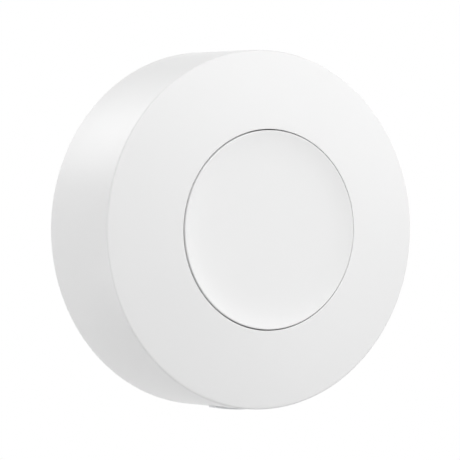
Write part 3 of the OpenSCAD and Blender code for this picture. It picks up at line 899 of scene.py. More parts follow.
# %% Tabs of the large capacitor
bulk_x = (bulk_low[0] + bulk_high[0]) / 2
tab_line = [(bulk_high[0] - tab_t, bulk_low[1] + 0.85 * MM),
            (bulk_high[0] - tab_t / 2, bulk_low[1] + tab_t / 2),
            (bulk_high[0] - 0.9 * MM, bulk_low[1] + tab_t / 2)]
tab = strip("tab", [(x - bulk_x, depth) for x, depth in tab_line], 0.1 * MM, tab_t, -0.85 * MM, 0.85 * MM)
tabs = copy_round(tab, (0, 180))
tabs.location.x = bulk_x
bpy.ops.object.transform_apply(location=True, rotation=True, scale=True)
tinned.append(tabs)

# %% [markdown]
# ## Tinned pieces in one
# All the tinned pads and ends have one finish and none moves by itself, so they become one piece. They
# could stay apart, but a short list of pieces is easier to read.

# %% Tinned pieces in one
tinned_ends = join(*tinned)
tinned_ends.name = tinned_ends.data.name = "tinned_ends"
print("tinned faces:", len(tinned_ends.data.polygons))

# %% [markdown]
# ## Switch
# Under the cap sits a small snap switch: a black body with a round well, a domed steel spring in
# the well, a plunger on the dome, and a riveted steel frame that keeps the plunger in. Four bent
# legs solder it to the board. The well is cut after the edges of the block are softened, so that
# its own edge stays crisp.

# %% Switch body and legs
switch_low, switch_high = corners("switch_base")
well_r, well_depth = 2.4 * MM, 9.83 * MM
switch_body = block("switch_body", switch_low, switch_high, 0.12 * MM)
combine(switch_body, rod("well", well_r, (well_depth, switch_high[1] + MM)), "DIFFERENCE")

leg_t = 0.15 * MM
leg_foot = board_front + leg_t / 2
leg_line = [mm(2.9, 9.95), mm(3.3, 9.95), (3.5 * MM, leg_foot), (4.2 * MM, leg_foot)]
leg = strip("leg", leg_line, 0.1 * MM, leg_t, *mm(-2.65, -1.85))
legs = copy_round(row(leg, 2, mm(0, 0, 4.5)), (0, 180))
legs.name = legs.data.name = "switch_legs"

# %% [markdown]
# ## Dome and plunger
# The dome is a thin steel cap that snaps through when it is pressed and springs back. A sphere could be
# cut for it, but two arcs round one centre give it an even thickness at once. The plunger is turned
# too, with a flange that the frame holds back and a slight hollow in its face.

# %% Dome
dome_high = corners("switch_dome")[1]
dome_foot_r, dome_top, dome_t = dome_high[0], dome_high[1], 0.1 * MM
dome_rise = dome_top - (well_depth + dome_t)
dome_r = (dome_foot_r ** 2 + dome_rise ** 2) / (2 * dome_rise)
dome_half = math.degrees(math.asin(dome_foot_r / dome_r))
dome_centre = (0, dome_top - dome_r)
dome_under = arc(dome_centre, dome_r - dome_t, 90, 90 - dome_half, 16)
dome_over = arc(dome_centre, dome_r, 90 - dome_half, 90, 16)
dome = turn("switch_dome_sheet", dome_under + dome_over, 96)

# %% Plunger
plunger_low, plunger_high = corners("switch_plunger")
stem_r, plunger_edge = 1.6 * MM, 0.15 * MM
collar_front, hollow_depth = plunger_low[1] + 0.25 * MM, plunger_high[1] - 0.04 * MM
plunger_outline = (
    [(0, plunger_low[1]), (plunger_high[0], plunger_low[1]), (plunger_high[0], collar_front),
     (stem_r, collar_front)]
    + arc((stem_r - plunger_edge, plunger_high[1] - plunger_edge), plunger_edge, 0, 90, 6)
    + [(0.9 * MM, plunger_high[1]), (0.7 * MM, hollow_depth), (0, hollow_depth)]
)
plunger = turn("switch_plunger_turned", plunger_outline, 96)

# %% [markdown]
# ## Frame of the switch
# The frame is a steel plate with a hole for the plunger, four rivet heads and a bent clip on either
# side. Here the hole is cut before the edges are softened, so that its rim is rounded like the rest,
# as a stamping tool leaves it.

# %% Frame of the switch
frame_low, frame_high = corners("switch_frame")
plate_front = frame_low[1] + 0.2 * MM
plate = bar("switch_frame_plate", frame_low, (frame_high[0], plate_front, frame_high[2]))
combine(plate, rod("hole", stem_r + 0.05 * MM, (frame_low[1] - MM, plate_front + MM)), "DIFFERENCE")
soften(plate, 0.04 * MM)
rivet = rod("rivet", 0.35 * MM, (plate_front - 0.02 * MM, frame_high[1]), 0, 24)
soften(rivet, 0.1 * MM)
rivet.location = (2.3 * MM, 0, -2.3 * MM)
bpy.ops.object.transform_apply(location=True, rotation=True, scale=True)
rivets = copy_round(row(rivet, 2, mm(0, 0, 4.6)), (0, 180))
clip_x, clip_front = 3.06 * MM, plate_front - 0.1 * MM
clip_line = [(2.8 * MM, clip_front), (clip_x, clip_front), (clip_x, plate_front - 0.9 * MM)]
clips = copy_round(strip("clip", clip_line, 0.12 * MM, 0.12 * MM, *mm(-1.1, 1.1)), (0, 180))
switch_plate = join(plate, rivets, clips)

# %% [markdown]
# ## Soft ring
# A ring of silicone lifts the cap after each press and keeps dust out of the gap. Its outline has a
# flat foot and a leaning lip. Rubber has no sharp corners, and easing the corners of the outline before
# it is turned is simpler than bevelling the ring.

# %% Soft ring
ring_low, ring_high = corners("return_ring")
ring_out_r, ring_back, ring_top = ring_high[0], ring_low[1], ring_high[1]
foot_top = ring_back + 0.5 * MM
lip_r0, lip_r1, lean = ring_out_r - 2 * MM, ring_out_r - 1.1 * MM, 0.3 * MM
ring_start = (lip_r0 + 0.6 * MM, ring_back)
ring_points = [ring_start, (ring_out_r, ring_back), (ring_out_r, foot_top), (lip_r1 + lean, foot_top),
               (lip_r1, ring_top), (lip_r0, ring_top), (lip_r0 + lean, foot_top), (lip_r0, ring_back),
               ring_start]
soft_ring = turn("return_ring_soft", rounded(ring_points, 0.14 * MM, 4), 180)

# %% [markdown]
# ## Status light
# The lamp for the window sits on the back of the board and shines down. Its lower face is inset, pushed
# in and made smaller, which gives a reflector with sloping sides without any cutting.

# %% Status light
led_low, led_high = corners("status_led")
led = bar("status_led_lamp", led_low, led_high)
pick_faces(led, lambda point: point.z < led_low[2] + MERGE)
bpy.ops.mesh.inset(thickness=0.12 * MM)
bpy.ops.mesh.extrude_region_move(TRANSFORM_OT_translate={"value": (0, 0, 0.25 * MM)})
bpy.ops.transform.resize(value=(0.85, 0.7, 1))
bpy.ops.object.mode_set(mode="OBJECT")
soften(led, 0.03 * MM)

# %% [markdown]
# ## Coin cell
# The cell is a steel can, crimped over a black seal, with a smaller steel cap in its mouth and the
# electrodes inside. A plain disc would do for a closed button, but these pieces are seen when it is
# taken apart. All of them are turned, and the can first: its outline goes round the outside and back
# along the inside, one sheet's thickness further in.

# %% Can of the cell
can_low, can_high = corners("cell_can")
can_r, can_back, can_front = can_high[0], can_low[1], can_high[1]
sheet_t, bend_r, crimp_r = 0.3 * MM, 0.6 * MM, can_r - 0.9 * MM
can_in_r, can_floor = can_r - sheet_t, can_back + sheet_t
can_outline = (
    [(0, can_back + 0.06 * MM), (can_r - 2.6 * MM, can_back + 0.06 * MM), (can_r - 2.3 * MM, can_back)]
    + arc((can_r - bend_r, can_back + bend_r), bend_r, -90, 0, 8)
    + arc((can_r - bend_r, can_front - bend_r), bend_r, 0, 90, 8)
    + [(crimp_r, can_front), (crimp_r, can_front - sheet_t), (can_in_r, can_front - sheet_t),
       (can_in_r, can_floor + 0.3 * MM), (can_in_r - 0.3 * MM, can_floor), (0, can_floor)]
)
can = turn("cell_can_drawn", can_outline, 180)

# %% [markdown]
# The seal is a moulded ring that fills the room between can and cap, so its outline steps where the can's
# edge is crimped over it. The cap is a shallow cup with a fine groove round its face.

# %% Seal of the cell
seal_low, seal_high = corners("cell_gasket")
seal_r0, seal_r1 = can_r - 1.28 * MM, seal_high[0]
seal_neck_r, seal_front = crimp_r - 0.02 * MM, can_front - 0.04 * MM
seal_start = (seal_r0 + 0.4 * MM, seal_low[1])
seal_points = [seal_start, (seal_r1, seal_low[1]), (seal_r1, seal_high[1]), (seal_neck_r, seal_high[1]),
               (seal_neck_r, seal_front), (seal_r0, seal_front), (seal_r0, seal_low[1]), seal_start]
seal = turn("cell_seal", rounded(seal_points, 0.08 * MM, 3), 180)

# %% Cap of the cell
top_low, top_high = corners("cell_cap")
top_r, top_front, top_edge = top_high[0], top_high[1], top_low[1]
top_in_r, top_in = top_r - sheet_t, top_front - sheet_t
groove_depth = top_front - 0.05 * MM
top_outline = (
    [(0, top_in), (top_in_r, top_in), (top_in_r, top_edge), (top_r, top_edge)]
    + arc((top_r - bend_r, top_front - bend_r), bend_r, 0, 90, 8)
    + [(top_r - 1.5 * MM, top_front), (top_r - 1.6 * MM, groove_depth),
       (top_r - 1.8 * MM, groove_depth), (top_r - 1.9 * MM, top_front), (0, top_front)]
)
cell_top = turn("cell_cap_drawn", top_outline, 180)

# %% [markdown]
# The electrodes are pressed discs, one on the other. Three stacked cylinders would hide faces inside, so
# one outline goes round all three, with a chamfer at each disc's edges.

# %% Electrodes of the cell
LAYERS = 3
core_low, core_high = corners("cell_core")
core_r, layer = core_high[0], (core_high[1] - core_low[1]) / LAYERS
core_edge = 0.1 * MM
core_outline = [(0, core_low[1])]
for i in range(LAYERS):
    d0, d1 = core_low[1] + i * layer, core_low[1] + (i + 1) * layer
    core_outline += [(core_r - core_edge, d0), (core_r, d0 + core_edge),
                     (core_r, d1 - core_edge), (core_r - core_edge, d1)]
core = turn("cell_core_stack", core_outline + [(0, core_high[1])], 96)

# %% [markdown]
# A disc of dark foam on the wall base presses on the cell and keeps it from rattling. Like the adhesive
# pad it is punched from a sheet, so it has the same soft edges.

# %% Foam under the cell
foam_low, foam_high = corners("cell_pad")
foam_edge = 0.12 * MM
foam_outline = (
    [(0, foam_low[1])]
    + arc((foam_high[0] - foam_edge, foam_low[1] + foam_edge), foam_edge, -90, 0, 5)
    + arc((foam_high[0] - foam_edge, foam_high[1] - foam_edge), foam_edge, 0, 90, 5)
    + [(0, foam_high[1])]
)
cell_foam = turn("cell_pad_foam", foam_outline, 120)

# %% [markdown]
# ## Contacts
# Two gilded spring strips reach from the board to the side and to the middle of the cell. Each is a line
# of a few points with wide bends, drawn out to its width as the legs of the switch were. The leaf is
# bowed so that it presses on the cell.

# %% Contacts
spring_t = 0.2 * MM
side_x, bow_x = 12.75 * MM, 12.4 * MM
solder_depth = board_back - spring_t / 2
side_line = [(15.25 * MM, solder_depth), (side_x, solder_depth), (bow_x, 5.3 * MM), (side_x, 4.1 * MM)]
side_spring = strip("positive_contact_spring", side_line, 0.45 * MM, spring_t, *mm(-2, 2))
leaf_line = [(-8.5 * MM, solder_depth), (-4.5 * MM, solder_depth),
             (0, can_front + 0.22 * MM + spring_t / 2), (2 * MM, can_front + 0.42 * MM + spring_t / 2)]
leaf_spring = strip("negative_contact_spring", leaf_line, 0.8 * MM, spring_t, *mm(-2, 2))

# %% [markdown]
# ## Carrier
# A black carrier holds the cell and clamps the board to the housing. It could be modelled anew, but its
# form is right as constructed. So its mesh is copied, its doubles are merged and its edges are softened.

# %% Carrier
pick(frame["nodes"]["cell_carrier"])
bpy.ops.object.duplicate()
carrier = bpy.context.object
carrier.name = carrier.data.name = "cell_carrier_softened"
bpy.ops.object.parent_clear(type="CLEAR_KEEP_TRANSFORM")
bpy.ops.object.transform_apply(location=True, rotation=True, scale=True)
bpy.ops.object.mode_set(mode="EDIT")
bpy.ops.mesh.select_all(action="SELECT")
bpy.ops.mesh.remove_doubles(threshold=MERGE)
bpy.ops.object.mode_set(mode="OBJECT")
soften(carrier, 0.1 * MM)

# %% [markdown]
# ## Screws
# Three self-tapping screws go through the carrier and the board into the bosses. Body and head are
# turned, and two bars cut the cross recess. Rings could stand for the thread, but a real one climbs:
# a small triangle goes round and up with a Screw modifier and is joined to the shank.

# %% Body of the screws
screw_low, screw_high = corners("carrier_screws")
head_back, screw_tip = screw_low[1], screw_high[1]
head_r, head_h, shank_r, thread_t, pitch = 1.5 * MM, 1 * MM, 0.6 * MM, 0.14 * MM, 0.4 * MM
head_front = head_back + head_h
screw_outline = (
    [(0, head_back)]
    + arc((head_r - 0.5 * MM, head_back + 0.5 * MM), 0.5 * MM, -90, 0, 8)
    + [(head_r, head_front), (shank_r, head_front), (shank_r, screw_tip - 0.5 * MM),
       (0.25 * MM, screw_tip), (0, screw_tip)]
)
screw = turn("carrier_screw", screw_outline, 48)
cross_l, cross_w = 0.9 * MM, 0.22 * MM
for angle in (0, 90):
    slot_bar = bar("cross", (-cross_l, head_back - MM, -cross_w), (cross_l, head_back + 0.5 * MM, cross_w))
    combine(screw, copy_round(slot_bar, (angle,)), "DIFFERENCE")

# %% Thread of the screws
root_r = shank_r - 0.1 * MM
thread_line = [(root_r, head_front + 0.5 * MM), (root_r, head_front + 0.58 * MM),
               (shank_r + thread_t, head_front + 0.68 * MM), (root_r, head_front + 0.78 * MM),
               (root_r, head_front + 0.5 * MM)]
thread = draw_outline("thread", thread_line)
bpy.ops.mesh.select_all(action="SELECT")
bpy.ops.mesh.remove_doubles(threshold=MERGE)
bpy.ops.object.mode_set(mode="OBJECT")
helix = thread.modifiers.new("helix", "SCREW")
helix.axis = "Y"
helix.angle = math.tau
helix.screw_offset = -pitch
helix.iterations = 9
helix.steps = helix.render_steps = 36
bpy.ops.object.modifier_apply(modifier="helix")
bpy.ops.object.mode_set(mode="EDIT")
bpy.ops.mesh.select_all(action="SELECT")
bpy.ops.mesh.fill_holes(sides=0)
close_up(thread)
combine(screw, thread, "UNION")

# %% Three screws
screw.location.x = boss_ring_r
pick(screw)
bpy.ops.object.transform_apply(location=True, rotation=True, scale=True)
screws = copy_round(screw, BOSS_ANGLES)
screws.name = screws.data.name = "carrier_screws_threaded"

# %% [markdown]
# ## Finishes as node groups
# No surface is perfectly even. Here every finish is driven by two values that vary over the piece: a
# height for the fine relief and a shade for the slow changes of colour. Node groups make them, one
# group for each kind of surface, from the place on the piece and from how many fine and coarse
# marks there are to a metre. Every material could have such nodes of its own, but a group is built
# once and then only gets other values.

# %% Node helpers
def add_node(tree, kind, values=None, **settings):
    """A new node with its settings, and values for its unlinked inputs."""
    made = tree.nodes.new(kind)
    for key, value in settings.items():
        setattr(made, key, value)
    for key, value in (values or {}).items():
        made.inputs[key].default_value = value
    return made


def new_group(name):
    """A node group that turns a place into a height and a shade. Its shade is a soft noise."""
    tree = bpy.data.node_groups.new(name, "ShaderNodeTree")
    tree.interface.new_socket("Place", in_out="INPUT", socket_type="NodeSocketVector")
    for title in ("Fine", "Coarse"):
        tree.interface.new_socket(title, in_out="INPUT", socket_type="NodeSocketFloat")
    for title in ("Height", "Shade"):
        tree.interface.new_socket(title, in_out="OUTPUT", socket_type="NodeSocketFloat")
    start, end = add_node(tree, "NodeGroupInput"), add_node(tree, "NodeGroupOutput")
    clouds = add_node(tree, "ShaderNodeTexNoise", {"Detail": 2, "Roughness": 0.55})
    tree.links.new(start.outputs["Place"], clouds.inputs["Vector"])
    tree.links.new(start.outputs["Coarse"], clouds.inputs["Scale"])
    tree.links.new(clouds.outputs["Fac"], end.inputs["Shade"])
    print("node group:", name)
    return tree, start, end


# %% [markdown]
# Moulded plastic has the fine even grain of a spark-eroded tool, which is plain noise. Sheet metal
# keeps the long marks of the rollers: the same noise, drawn out along one direction.

# %% Moulded grain and rolled marks
grain, start, end = new_group("moulded grain")
noise = add_node(grain, "ShaderNodeTexNoise", {"Detail": 3, "Roughness": 0.55})
grain.links.new(start.outputs["Place"], noise.inputs["Vector"])
grain.links.new(start.outputs["Fine"], noise.inputs["Scale"])
grain.links.new(noise.outputs["Fac"], end.inputs["Height"])

rolled, start, end = new_group("rolled marks")
stretch = add_node(rolled, "ShaderNodeVectorMath", {1: (0.04, 1, 1)}, operation="MULTIPLY")
noise = add_node(rolled, "ShaderNodeTexNoise", {"Detail": 2, "Roughness": 0.6})
rolled.links.new(start.outputs["Place"], stretch.inputs[0])
rolled.links.new(stretch.outputs["Vector"], noise.inputs["Vector"])
rolled.links.new(start.outputs["Fine"], noise.inputs["Scale"])
rolled.links.new(noise.outputs["Fac"], end.inputs["Height"])

# %% [markdown]
# A deep-drawn or turned piece has its marks in circles. A wave texture draws rings too, but evenly, like
# a record. Here the noise is read at the distance from the axis, so no two rings are alike.

# %% Turned marks
turned_marks, start, end = new_group("turned marks")
across = add_node(turned_marks, "ShaderNodeVectorMath", {1: (1, 0, 1)}, operation="MULTIPLY")
radius = add_node(turned_marks, "ShaderNodeVectorMath", operation="LENGTH")
parts = add_node(turned_marks, "ShaderNodeSeparateXYZ")
reading = add_node(turned_marks, "ShaderNodeCombineXYZ")
noise = add_node(turned_marks, "ShaderNodeTexNoise", {"Detail": 2, "Roughness": 0.6})
turned_marks.links.new(start.outputs["Place"], across.inputs[0])
turned_marks.links.new(across.outputs["Vector"], radius.inputs[0])
turned_marks.links.new(start.outputs["Place"], parts.inputs["Vector"])
turned_marks.links.new(radius.outputs["Value"], reading.inputs["X"])
turned_marks.links.new(parts.outputs["Y"], reading.inputs["Y"])
turned_marks.links.new(reading.outputs["Vector"], noise.inputs["Vector"])
turned_marks.links.new(start.outputs["Fine"], noise.inputs["Scale"])
turned_marks.links.new(noise.outputs["Fac"], end.inputs["Height"])

# %% [markdown]
# Foam is a heap of bubbles, and the distance to the nearest point of a Voronoi pattern looks just
# like them. Modelled bubbles would be far too many.

# %% Foam cells
cells, start, end = new_group("foam cells")
bubbles = add_node(cells, "ShaderNodeTexVoronoi")
cells.links.new(start.outputs["Place"], bubbles.inputs["Vector"])
cells.links.new(start.outputs["Fine"], bubbles.inputs["Scale"])
cells.links.new(bubbles.outputs["Distance"], end.inputs["Height"])

# %% [markdown]
# ## The recipe
# One recipe then makes every material. The shade runs between two colours, the height moves the
# roughness a little either way and feeds a bump whose depth is the real depth of the relief. The relief
# is far too fine to model, and a bump that is no deeper than the real one stays believable.

# %% The recipe
ROUGHNESS_RANGE = 0.04
CLOUD_SIZE = 8 * MM


def finish(name, group, fine, dark, light, roughness, relief, metallic=0):
    """A material with a group's relief. Colours are linear, fine and relief are lengths."""
    material = bpy.data.materials.new(name)
    material.use_nodes = True
    tree = material.node_tree
    shader = tree.nodes["Principled BSDF"]
    shader.inputs["Metallic"].default_value = metallic
    place = add_node(tree, "ShaderNodeTexCoord")
    effect = add_node(tree, "ShaderNodeGroup", {"Fine": 1 / fine, "Coarse": 1 / CLOUD_SIZE}, node_tree=group)
    tint = add_node(tree, "ShaderNodeMix", {"A": (*dark, 1), "B": (*light, 1)}, data_type="RGBA")
    gloss = add_node(tree, "ShaderNodeMapRange",
                     {"To Min": roughness - ROUGHNESS_RANGE, "To Max": roughness + ROUGHNESS_RANGE})
    bump = add_node(tree, "ShaderNodeBump", {"Strength": 0.5, "Distance": relief})
    tree.links.new(place.outputs["Object"], effect.inputs["Place"])
    tree.links.new(effect.outputs["Shade"], tint.inputs["Factor"])
    tree.links.new(tint.outputs["Result"], shader.inputs["Base Color"])
    tree.links.new(effect.outputs["Height"], gloss.inputs["Value"])
    tree.links.new(gloss.outputs["Result"], shader.inputs["Roughness"])
    tree.links.new(effect.outputs["Height"], bump.inputs["Height"])
    tree.links.new(bump.outputs["Normal"], shader.inputs["Normal"])
    print("finish:", name)
    return material


def moulded(name, colour, roughness, fine, relief, clouds=0.015):
    """Moulded plastic, rubber or ceramic of almost one colour."""
    return finish(name, grain, fine, [c * (1 - clouds) for c in colour], colour, roughness, relief)


def metal(name, group, colour, roughness, fine=0.08 * MM, relief=0.002 * MM):
    """Bare metal with rolled or turned marks."""
    return finish(name, group, fine, [c * 0.93 for c in colour], colour, roughness, relief, 1)


# %% [markdown]
# ## Plastics, rubber and ceramics
# Each of these gets its colour, its roughness, and how fine and deep its grain is. The whites stay near
# 0.85 and the blacks above 0.01, because hardly any real surface is whiter or blacker. Picture textures
# would do as well, but noise has no seams and needs no files.

# %% Plastics, rubber and ceramics
white_housing = moulded("white housing plastic", (0.85, 0.85, 0.85), 0.38, 0.15 * MM, 0.001 * MM)
white_cap = moulded("white cap plastic", (0.86, 0.86, 0.86), 0.38, 0.15 * MM, 0.001 * MM)
white_base = moulded("white base plastic", (0.82, 0.82, 0.82), 0.55, 0.2 * MM, 0.006 * MM)
frosted = moulded("frosted light window", (0.79, 0.8, 0.81), 0.4, 0.1 * MM, 0.002 * MM)
silicone = moulded("grey silicone", (0.44, 0.45, 0.47), 0.62, 0.1 * MM, 0.003 * MM, 0.05)
switch_black = moulded("black switch plastic", (0.016, 0.016, 0.018), 0.45, 0.08 * MM, 0.003 * MM, 0.1)
chip_black = moulded("black chip resin", (0.014, 0.014, 0.016), 0.58, 0.05 * MM, 0.004 * MM, 0.15)
resistor_black = moulded("black resistor glaze", (0.018, 0.018, 0.02), 0.28, 0.1 * MM, 0.002 * MM, 0.1)
carrier_black = moulded("black carrier plastic", (0.03, 0.03, 0.032), 0.5, 0.15 * MM, 0.004 * MM, 0.1)
seal_black = moulded("black cell seal", (0.02, 0.02, 0.021), 0.36, 0.1 * MM, 0.002 * MM, 0.1)
cream = moulded("cream plunger plastic", (0.7, 0.64, 0.5), 0.4, 0.1 * MM, 0.002 * MM, 0.04)
amber = moulded("amber capacitor resin", (0.6, 0.31, 0.05), 0.42, 0.08 * MM, 0.003 * MM, 0.1)
tan = moulded("tan capacitor ceramic", (0.42, 0.28, 0.16), 0.4, 0.06 * MM, 0.002 * MM, 0.12)
ceramic = moulded("pale ceramic", (0.76, 0.75, 0.71), 0.34, 0.08 * MM, 0.002 * MM, 0.05)
lamp_resin = moulded("lamp resin", (0.84, 0.77, 0.54), 0.3, 0.1 * MM, 0.001 * MM, 0.06)
core_grey = moulded("cell electrodes", (0.07, 0.07, 0.072), 0.8, 0.2 * MM, 0.01 * MM, 0.25)

# %% [markdown]
# ## Foams, board and metals
# Foam is rough, and its bubbles are deep. The lacquer is a deep green on the bare board and a lighter one
# over copper, so that the tracks show. A metal is told from a grey paint by Metallic alone: with a value
# of 1 its colour tints what it mirrors, and the marks in it spread the reflection.

# %% Foams, board and metals
pale_foam = finish("adhesive foam", cells, 0.3 * MM, (0.58, 0.59, 0.61), (0.67, 0.68, 0.7), 0.8, 0.05 * MM)
dark_foam = finish("dark foam", cells, 0.25 * MM, (0.02, 0.02, 0.022), (0.05, 0.05, 0.053), 0.85, 0.05 * MM)
lacquer = finish("green board lacquer", grain, 0.5 * MM,
                 (0.008, 0.075, 0.035), (0.012, 0.1, 0.048), 0.3, 0.004 * MM)
over_copper = finish("green lacquer on copper", grain, 0.5 * MM,
                     (0.03, 0.17, 0.08), (0.04, 0.21, 0.1), 0.3, 0.004 * MM)
dome_steel = metal("dome spring steel", turned_marks, (0.72, 0.7, 0.64), 0.28)
frame_steel = metal("frame steel", rolled, (0.66, 0.67, 0.69), 0.32)
tin = metal("tin", grain, (0.76, 0.75, 0.72), 0.38, 0.12 * MM, 0.008 * MM)
lid_metal = metal("crystal lid metal", rolled, (0.7, 0.7, 0.71), 0.24)
gold = metal("gilded spring", rolled, (0.83, 0.62, 0.26), 0.24)
screw_steel = metal("screw steel", grain, (0.56, 0.56, 0.58), 0.33)
cell_steel = metal("cell steel", turned_marks, (0.7, 0.71, 0.72), 0.28)

# %% [markdown]
# ## Which piece stands for which solid
# Each new piece takes the place of one solid, whose mesh is hidden, gets its finish and moves with that
# solid's body. The small things that no solid stands for, such as tracks and tinned ends, only ride along.

# %% How a piece is dressed
def dress(piece, material, body, slot, *solids):
    """Give a piece its finish and its body, and hide the solids that it stands for. The slot is not used."""
    piece.data.materials.clear()
    piece.data.materials.append(material)
    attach(piece, body)
    for solid in solids:
        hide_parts(solid)
    print(piece.name, "rides", body, "and stands for", *solids or ["no solid"])


# %% Dress the outside
dress(housing, white_housing, "housing", "housing_white", "front_housing")
dress(cap, white_cap, "button", "button_white", "button_cap")
dress(window, frosted, "housing", "window_frosted", "status_window")
dress(base, white_base, "base", "base_white", "base_plate")
dress(pad, pale_foam, "base", "adhesive_foam", "adhesive_pad")
dress(cell_foam, dark_foam, "base", "foam_dark", "cell_pad")
dress(soft_ring, silicone, "housing", "silicone_grey", "return_ring")

# %% Dress the board
dress(board, lacquer, "housing", "board_green", "circuit_board")
dress(board_tracks, over_copper, "housing", "board_green")
dress(tinned_ends, tin, "housing", "terminal_tin")
dress(chip, chip_black, "housing", "chip_black", "radio_chip")
dress(tray, ceramic, "housing", "antenna_ceramic")
dress(lid, lid_metal, "housing", "crystal_lid", "crystal")
dress(bulk, amber, "housing", "capacitor_amber", "bulk_capacitor")
dress(small_capacitors, tan, "housing", "capacitor_tan", "chip_capacitors")
dress(small_resistors, resistor_black, "housing", "resistor_black", "chip_resistors")
dress(antenna, ceramic, "housing", "antenna_ceramic", "chip_antenna")
dress(led, lamp_resin, "housing", "led_resin", "status_led")

# %% Dress the switch
dress(switch_body, switch_black, "housing", "switch_black", "switch_base")
dress(dome, dome_steel, "housing", "dome_steel", "switch_dome")
dress(plunger, cream, "plunger", "plunger_cream", "switch_plunger")
dress(switch_plate, frame_steel, "housing", "frame_steel", "switch_frame")
dress(legs, tin, "housing", "terminal_tin", "switch_terminals")

# %% Dress the cell and what holds it
dress(side_spring, gold, "housing", "contact_gold", "positive_contact")
dress(leaf_spring, gold, "housing", "contact_gold", "negative_contact")
dress(carrier, carrier_black, "housing", "carrier_black", "cell_carrier")
dress(screws, screw_steel, "housing", "screw_steel", "carrier_screws")
dress(can, cell_steel, "housing", "cell_steel", "cell_can")
dress(seal, seal_black, "housing", "gasket_black", "cell_gasket")
dress(cell_top, cell_steel, "housing", "cell_steel", "cell_cap")
dress(core, core_grey, "housing", "cell_core_grey", "cell_core")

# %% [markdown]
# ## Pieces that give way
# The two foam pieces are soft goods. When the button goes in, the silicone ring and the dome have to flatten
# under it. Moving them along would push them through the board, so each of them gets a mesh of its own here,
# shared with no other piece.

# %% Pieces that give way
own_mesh(soft_ring)
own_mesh(dome)
print("padded:", pad.name, cell_foam.name, "squashed:", soft_ring.name, dome.name)

# %% [markdown]
# ## Floor
# The button hangs free, as on a wall, and a pale floor lies well below it, takes its shadow and throws a
# little light back up. A plane would show its corners from above, so the floor is round.

# %% Floor
FLOOR_DROP, FLOOR_R = 300 * MM, 600 * MM
bpy.ops.object.select_all(action="DESELECT")
bpy.ops.mesh.primitive_circle_add(vertices=96, radius=FLOOR_R, fill_type="NGON", location=(0, 0, -FLOOR_DROP))
floor = bpy.context.object
bpy.ops.object.transform_apply(location=True, rotation=True, scale=True)
floor.name = "floor"
pale = moulded("pale floor", (0.85, 0.85, 0.85), 0.7, 2 * MM, 0.01 * MM)
floor.data.materials.append(pale)
print("floor radius in mm:", round(FLOOR_R / MM))

# %% [markdown]
# ## A floor without an edge
# Seen from the side, the rim of the floor would draw a line across the white background. A floor without
# end would hide it, but would also fill the picture. So its alpha falls with the distance from the
# middle, for camera rays alone: the light that it throws on the button stays the same.

# %% Floor that fades out before its rim
FADE = (220 * MM, 580 * MM)
tree = pale.node_tree
place = add_node(tree, "ShaderNodeTexCoord")
flat = add_node(tree, "ShaderNodeVectorMath", {1: (1, 1, 0)}, operation="MULTIPLY")
away = add_node(tree, "ShaderNodeVectorMath", operation="LENGTH")
clear = add_node(tree, "ShaderNodeMapRange", {"From Min": FADE[0], "From Max": FADE[1]})
path = add_node(tree, "ShaderNodeLightPath")
seen = add_node(tree, "ShaderNodeMath", operation="MULTIPLY")
left_over = add_node(tree, "ShaderNodeMath", {0: 1}, operation="SUBTRACT")
tree.links.new(place.outputs["Object"], flat.inputs[0])
tree.links.new(flat.outputs["Vector"], away.inputs[0])
tree.links.new(away.outputs["Value"], clear.inputs["Value"])
tree.links.new(clear.outputs["Result"], seen.inputs[0])
tree.links.new(path.outputs["Is Camera Ray"], seen.inputs[1])
tree.links.new(seen.outputs["Value"], left_over.inputs[1])
tree.links.new(left_over.outputs["Value"], tree.nodes["Principled BSDF"].inputs["Alpha"])
print("floor fades between, in mm:", [round(distance / MM) for distance in FADE])

# %% [markdown]
# ## World
# A cut-out product picture has a pure white background. A world that is white to all rays would light the
# button from everywhere and leave no shape. The Light Path node parts the two: the camera and mirror-like
# rays see white, and everything else gets a soft grey fill.

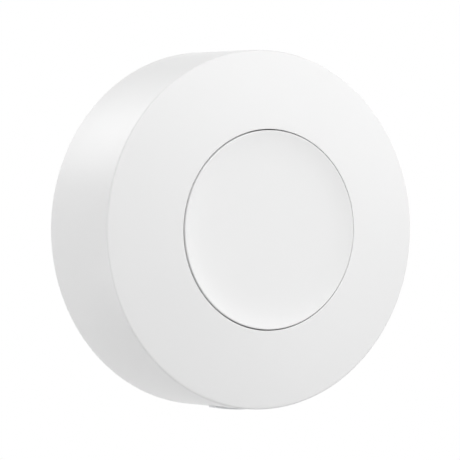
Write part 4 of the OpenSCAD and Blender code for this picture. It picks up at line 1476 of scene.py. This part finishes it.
# %% World
FILL = 0.273
world = bpy.data.worlds.new("studio")
bpy.context.scene.world = world
world.use_nodes = True
tree = world.node_tree
fill = tree.nodes["Background"]
fill.inputs["Color"].default_value = (1, 1, 1, 1)
fill.inputs["Strength"].default_value = FILL
white = add_node(tree, "ShaderNodeBackground", {"Color": (1, 1, 1, 1), "Strength": 1})
path = add_node(tree, "ShaderNodeLightPath")
seen = add_node(tree, "ShaderNodeMath", operation="MAXIMUM")
seen_too = add_node(tree, "ShaderNodeMath", operation="MAXIMUM")
choice = add_node(tree, "ShaderNodeMixShader")
tree.links.new(path.outputs["Is Camera Ray"], seen.inputs[0])
tree.links.new(path.outputs["Is Glossy Ray"], seen.inputs[1])
tree.links.new(seen.outputs[0], seen_too.inputs[0])
tree.links.new(path.outputs["Is Transmission Ray"], seen_too.inputs[1])
tree.links.new(seen_too.outputs[0], choice.inputs["Fac"])
tree.links.new(fill.outputs["Background"], choice.inputs[1])
tree.links.new(white.outputs["Background"], choice.inputs[2])
tree.links.new(choice.outputs["Shader"], tree.nodes["World Output"].inputs["Surface"])
print("fill light:", FILL)

# %% [markdown]
# ## Lamps
# Round soft boxes stand 0.6 m away and face the button. Those in front and on the right give the gentle
# slope of light over the crown and the dish. On the left, two behind make the bright band on the side
# wall, and a high and a low one lift the rest of it. One large lamp would be simpler, but white on white
# shows its shape only where the light changes slowly from place to place.

# %% Soft boxes
LAMP_DISTANCE = 600 * MM
middle = Vector((0, -face_depth / 2, 0))


def soft_box(name, azimuth, elevation, size, power):
    """A round lamp that faces the button, with its angles in degrees, its size in metres and its watts."""
    aside = towards(math.radians(azimuth), math.radians(elevation))
    bpy.ops.object.light_add(type="AREA", location=middle + aside * LAMP_DISTANCE)
    lamp = bpy.context.object
    lamp.name = name
    lamp.rotation_euler = aside.to_track_quat("Z", "Y").to_euler()
    lamp.data.shape = "DISK"
    lamp.data.size = size
    lamp.data.energy = power
    print("lamp:", name, "at", azimuth, elevation, "power in W:", power)


soft_box("front_left", -20, 35, 0.35, 1.43)
soft_box("front_right", 30, 30, 0.35, 0.613)
soft_box("right_level", 60, 15, 0.35, 0.55)
soft_box("right_low", 45, -20, 0.35, 0.359)
soft_box("right_behind", 120, 15, 0.35, 0.7)
soft_box("top_left", -20, 60, 0.35, 0.504)
soft_box("left_high", -120, 35, 0.35, 0.287)
soft_box("left_low", -120, -20, 0.2, 0.993)
soft_box("band_outer", -156, 30, 0.28, 0.46)
soft_box("band_inner", -172, 38, 0.28, 0.197)
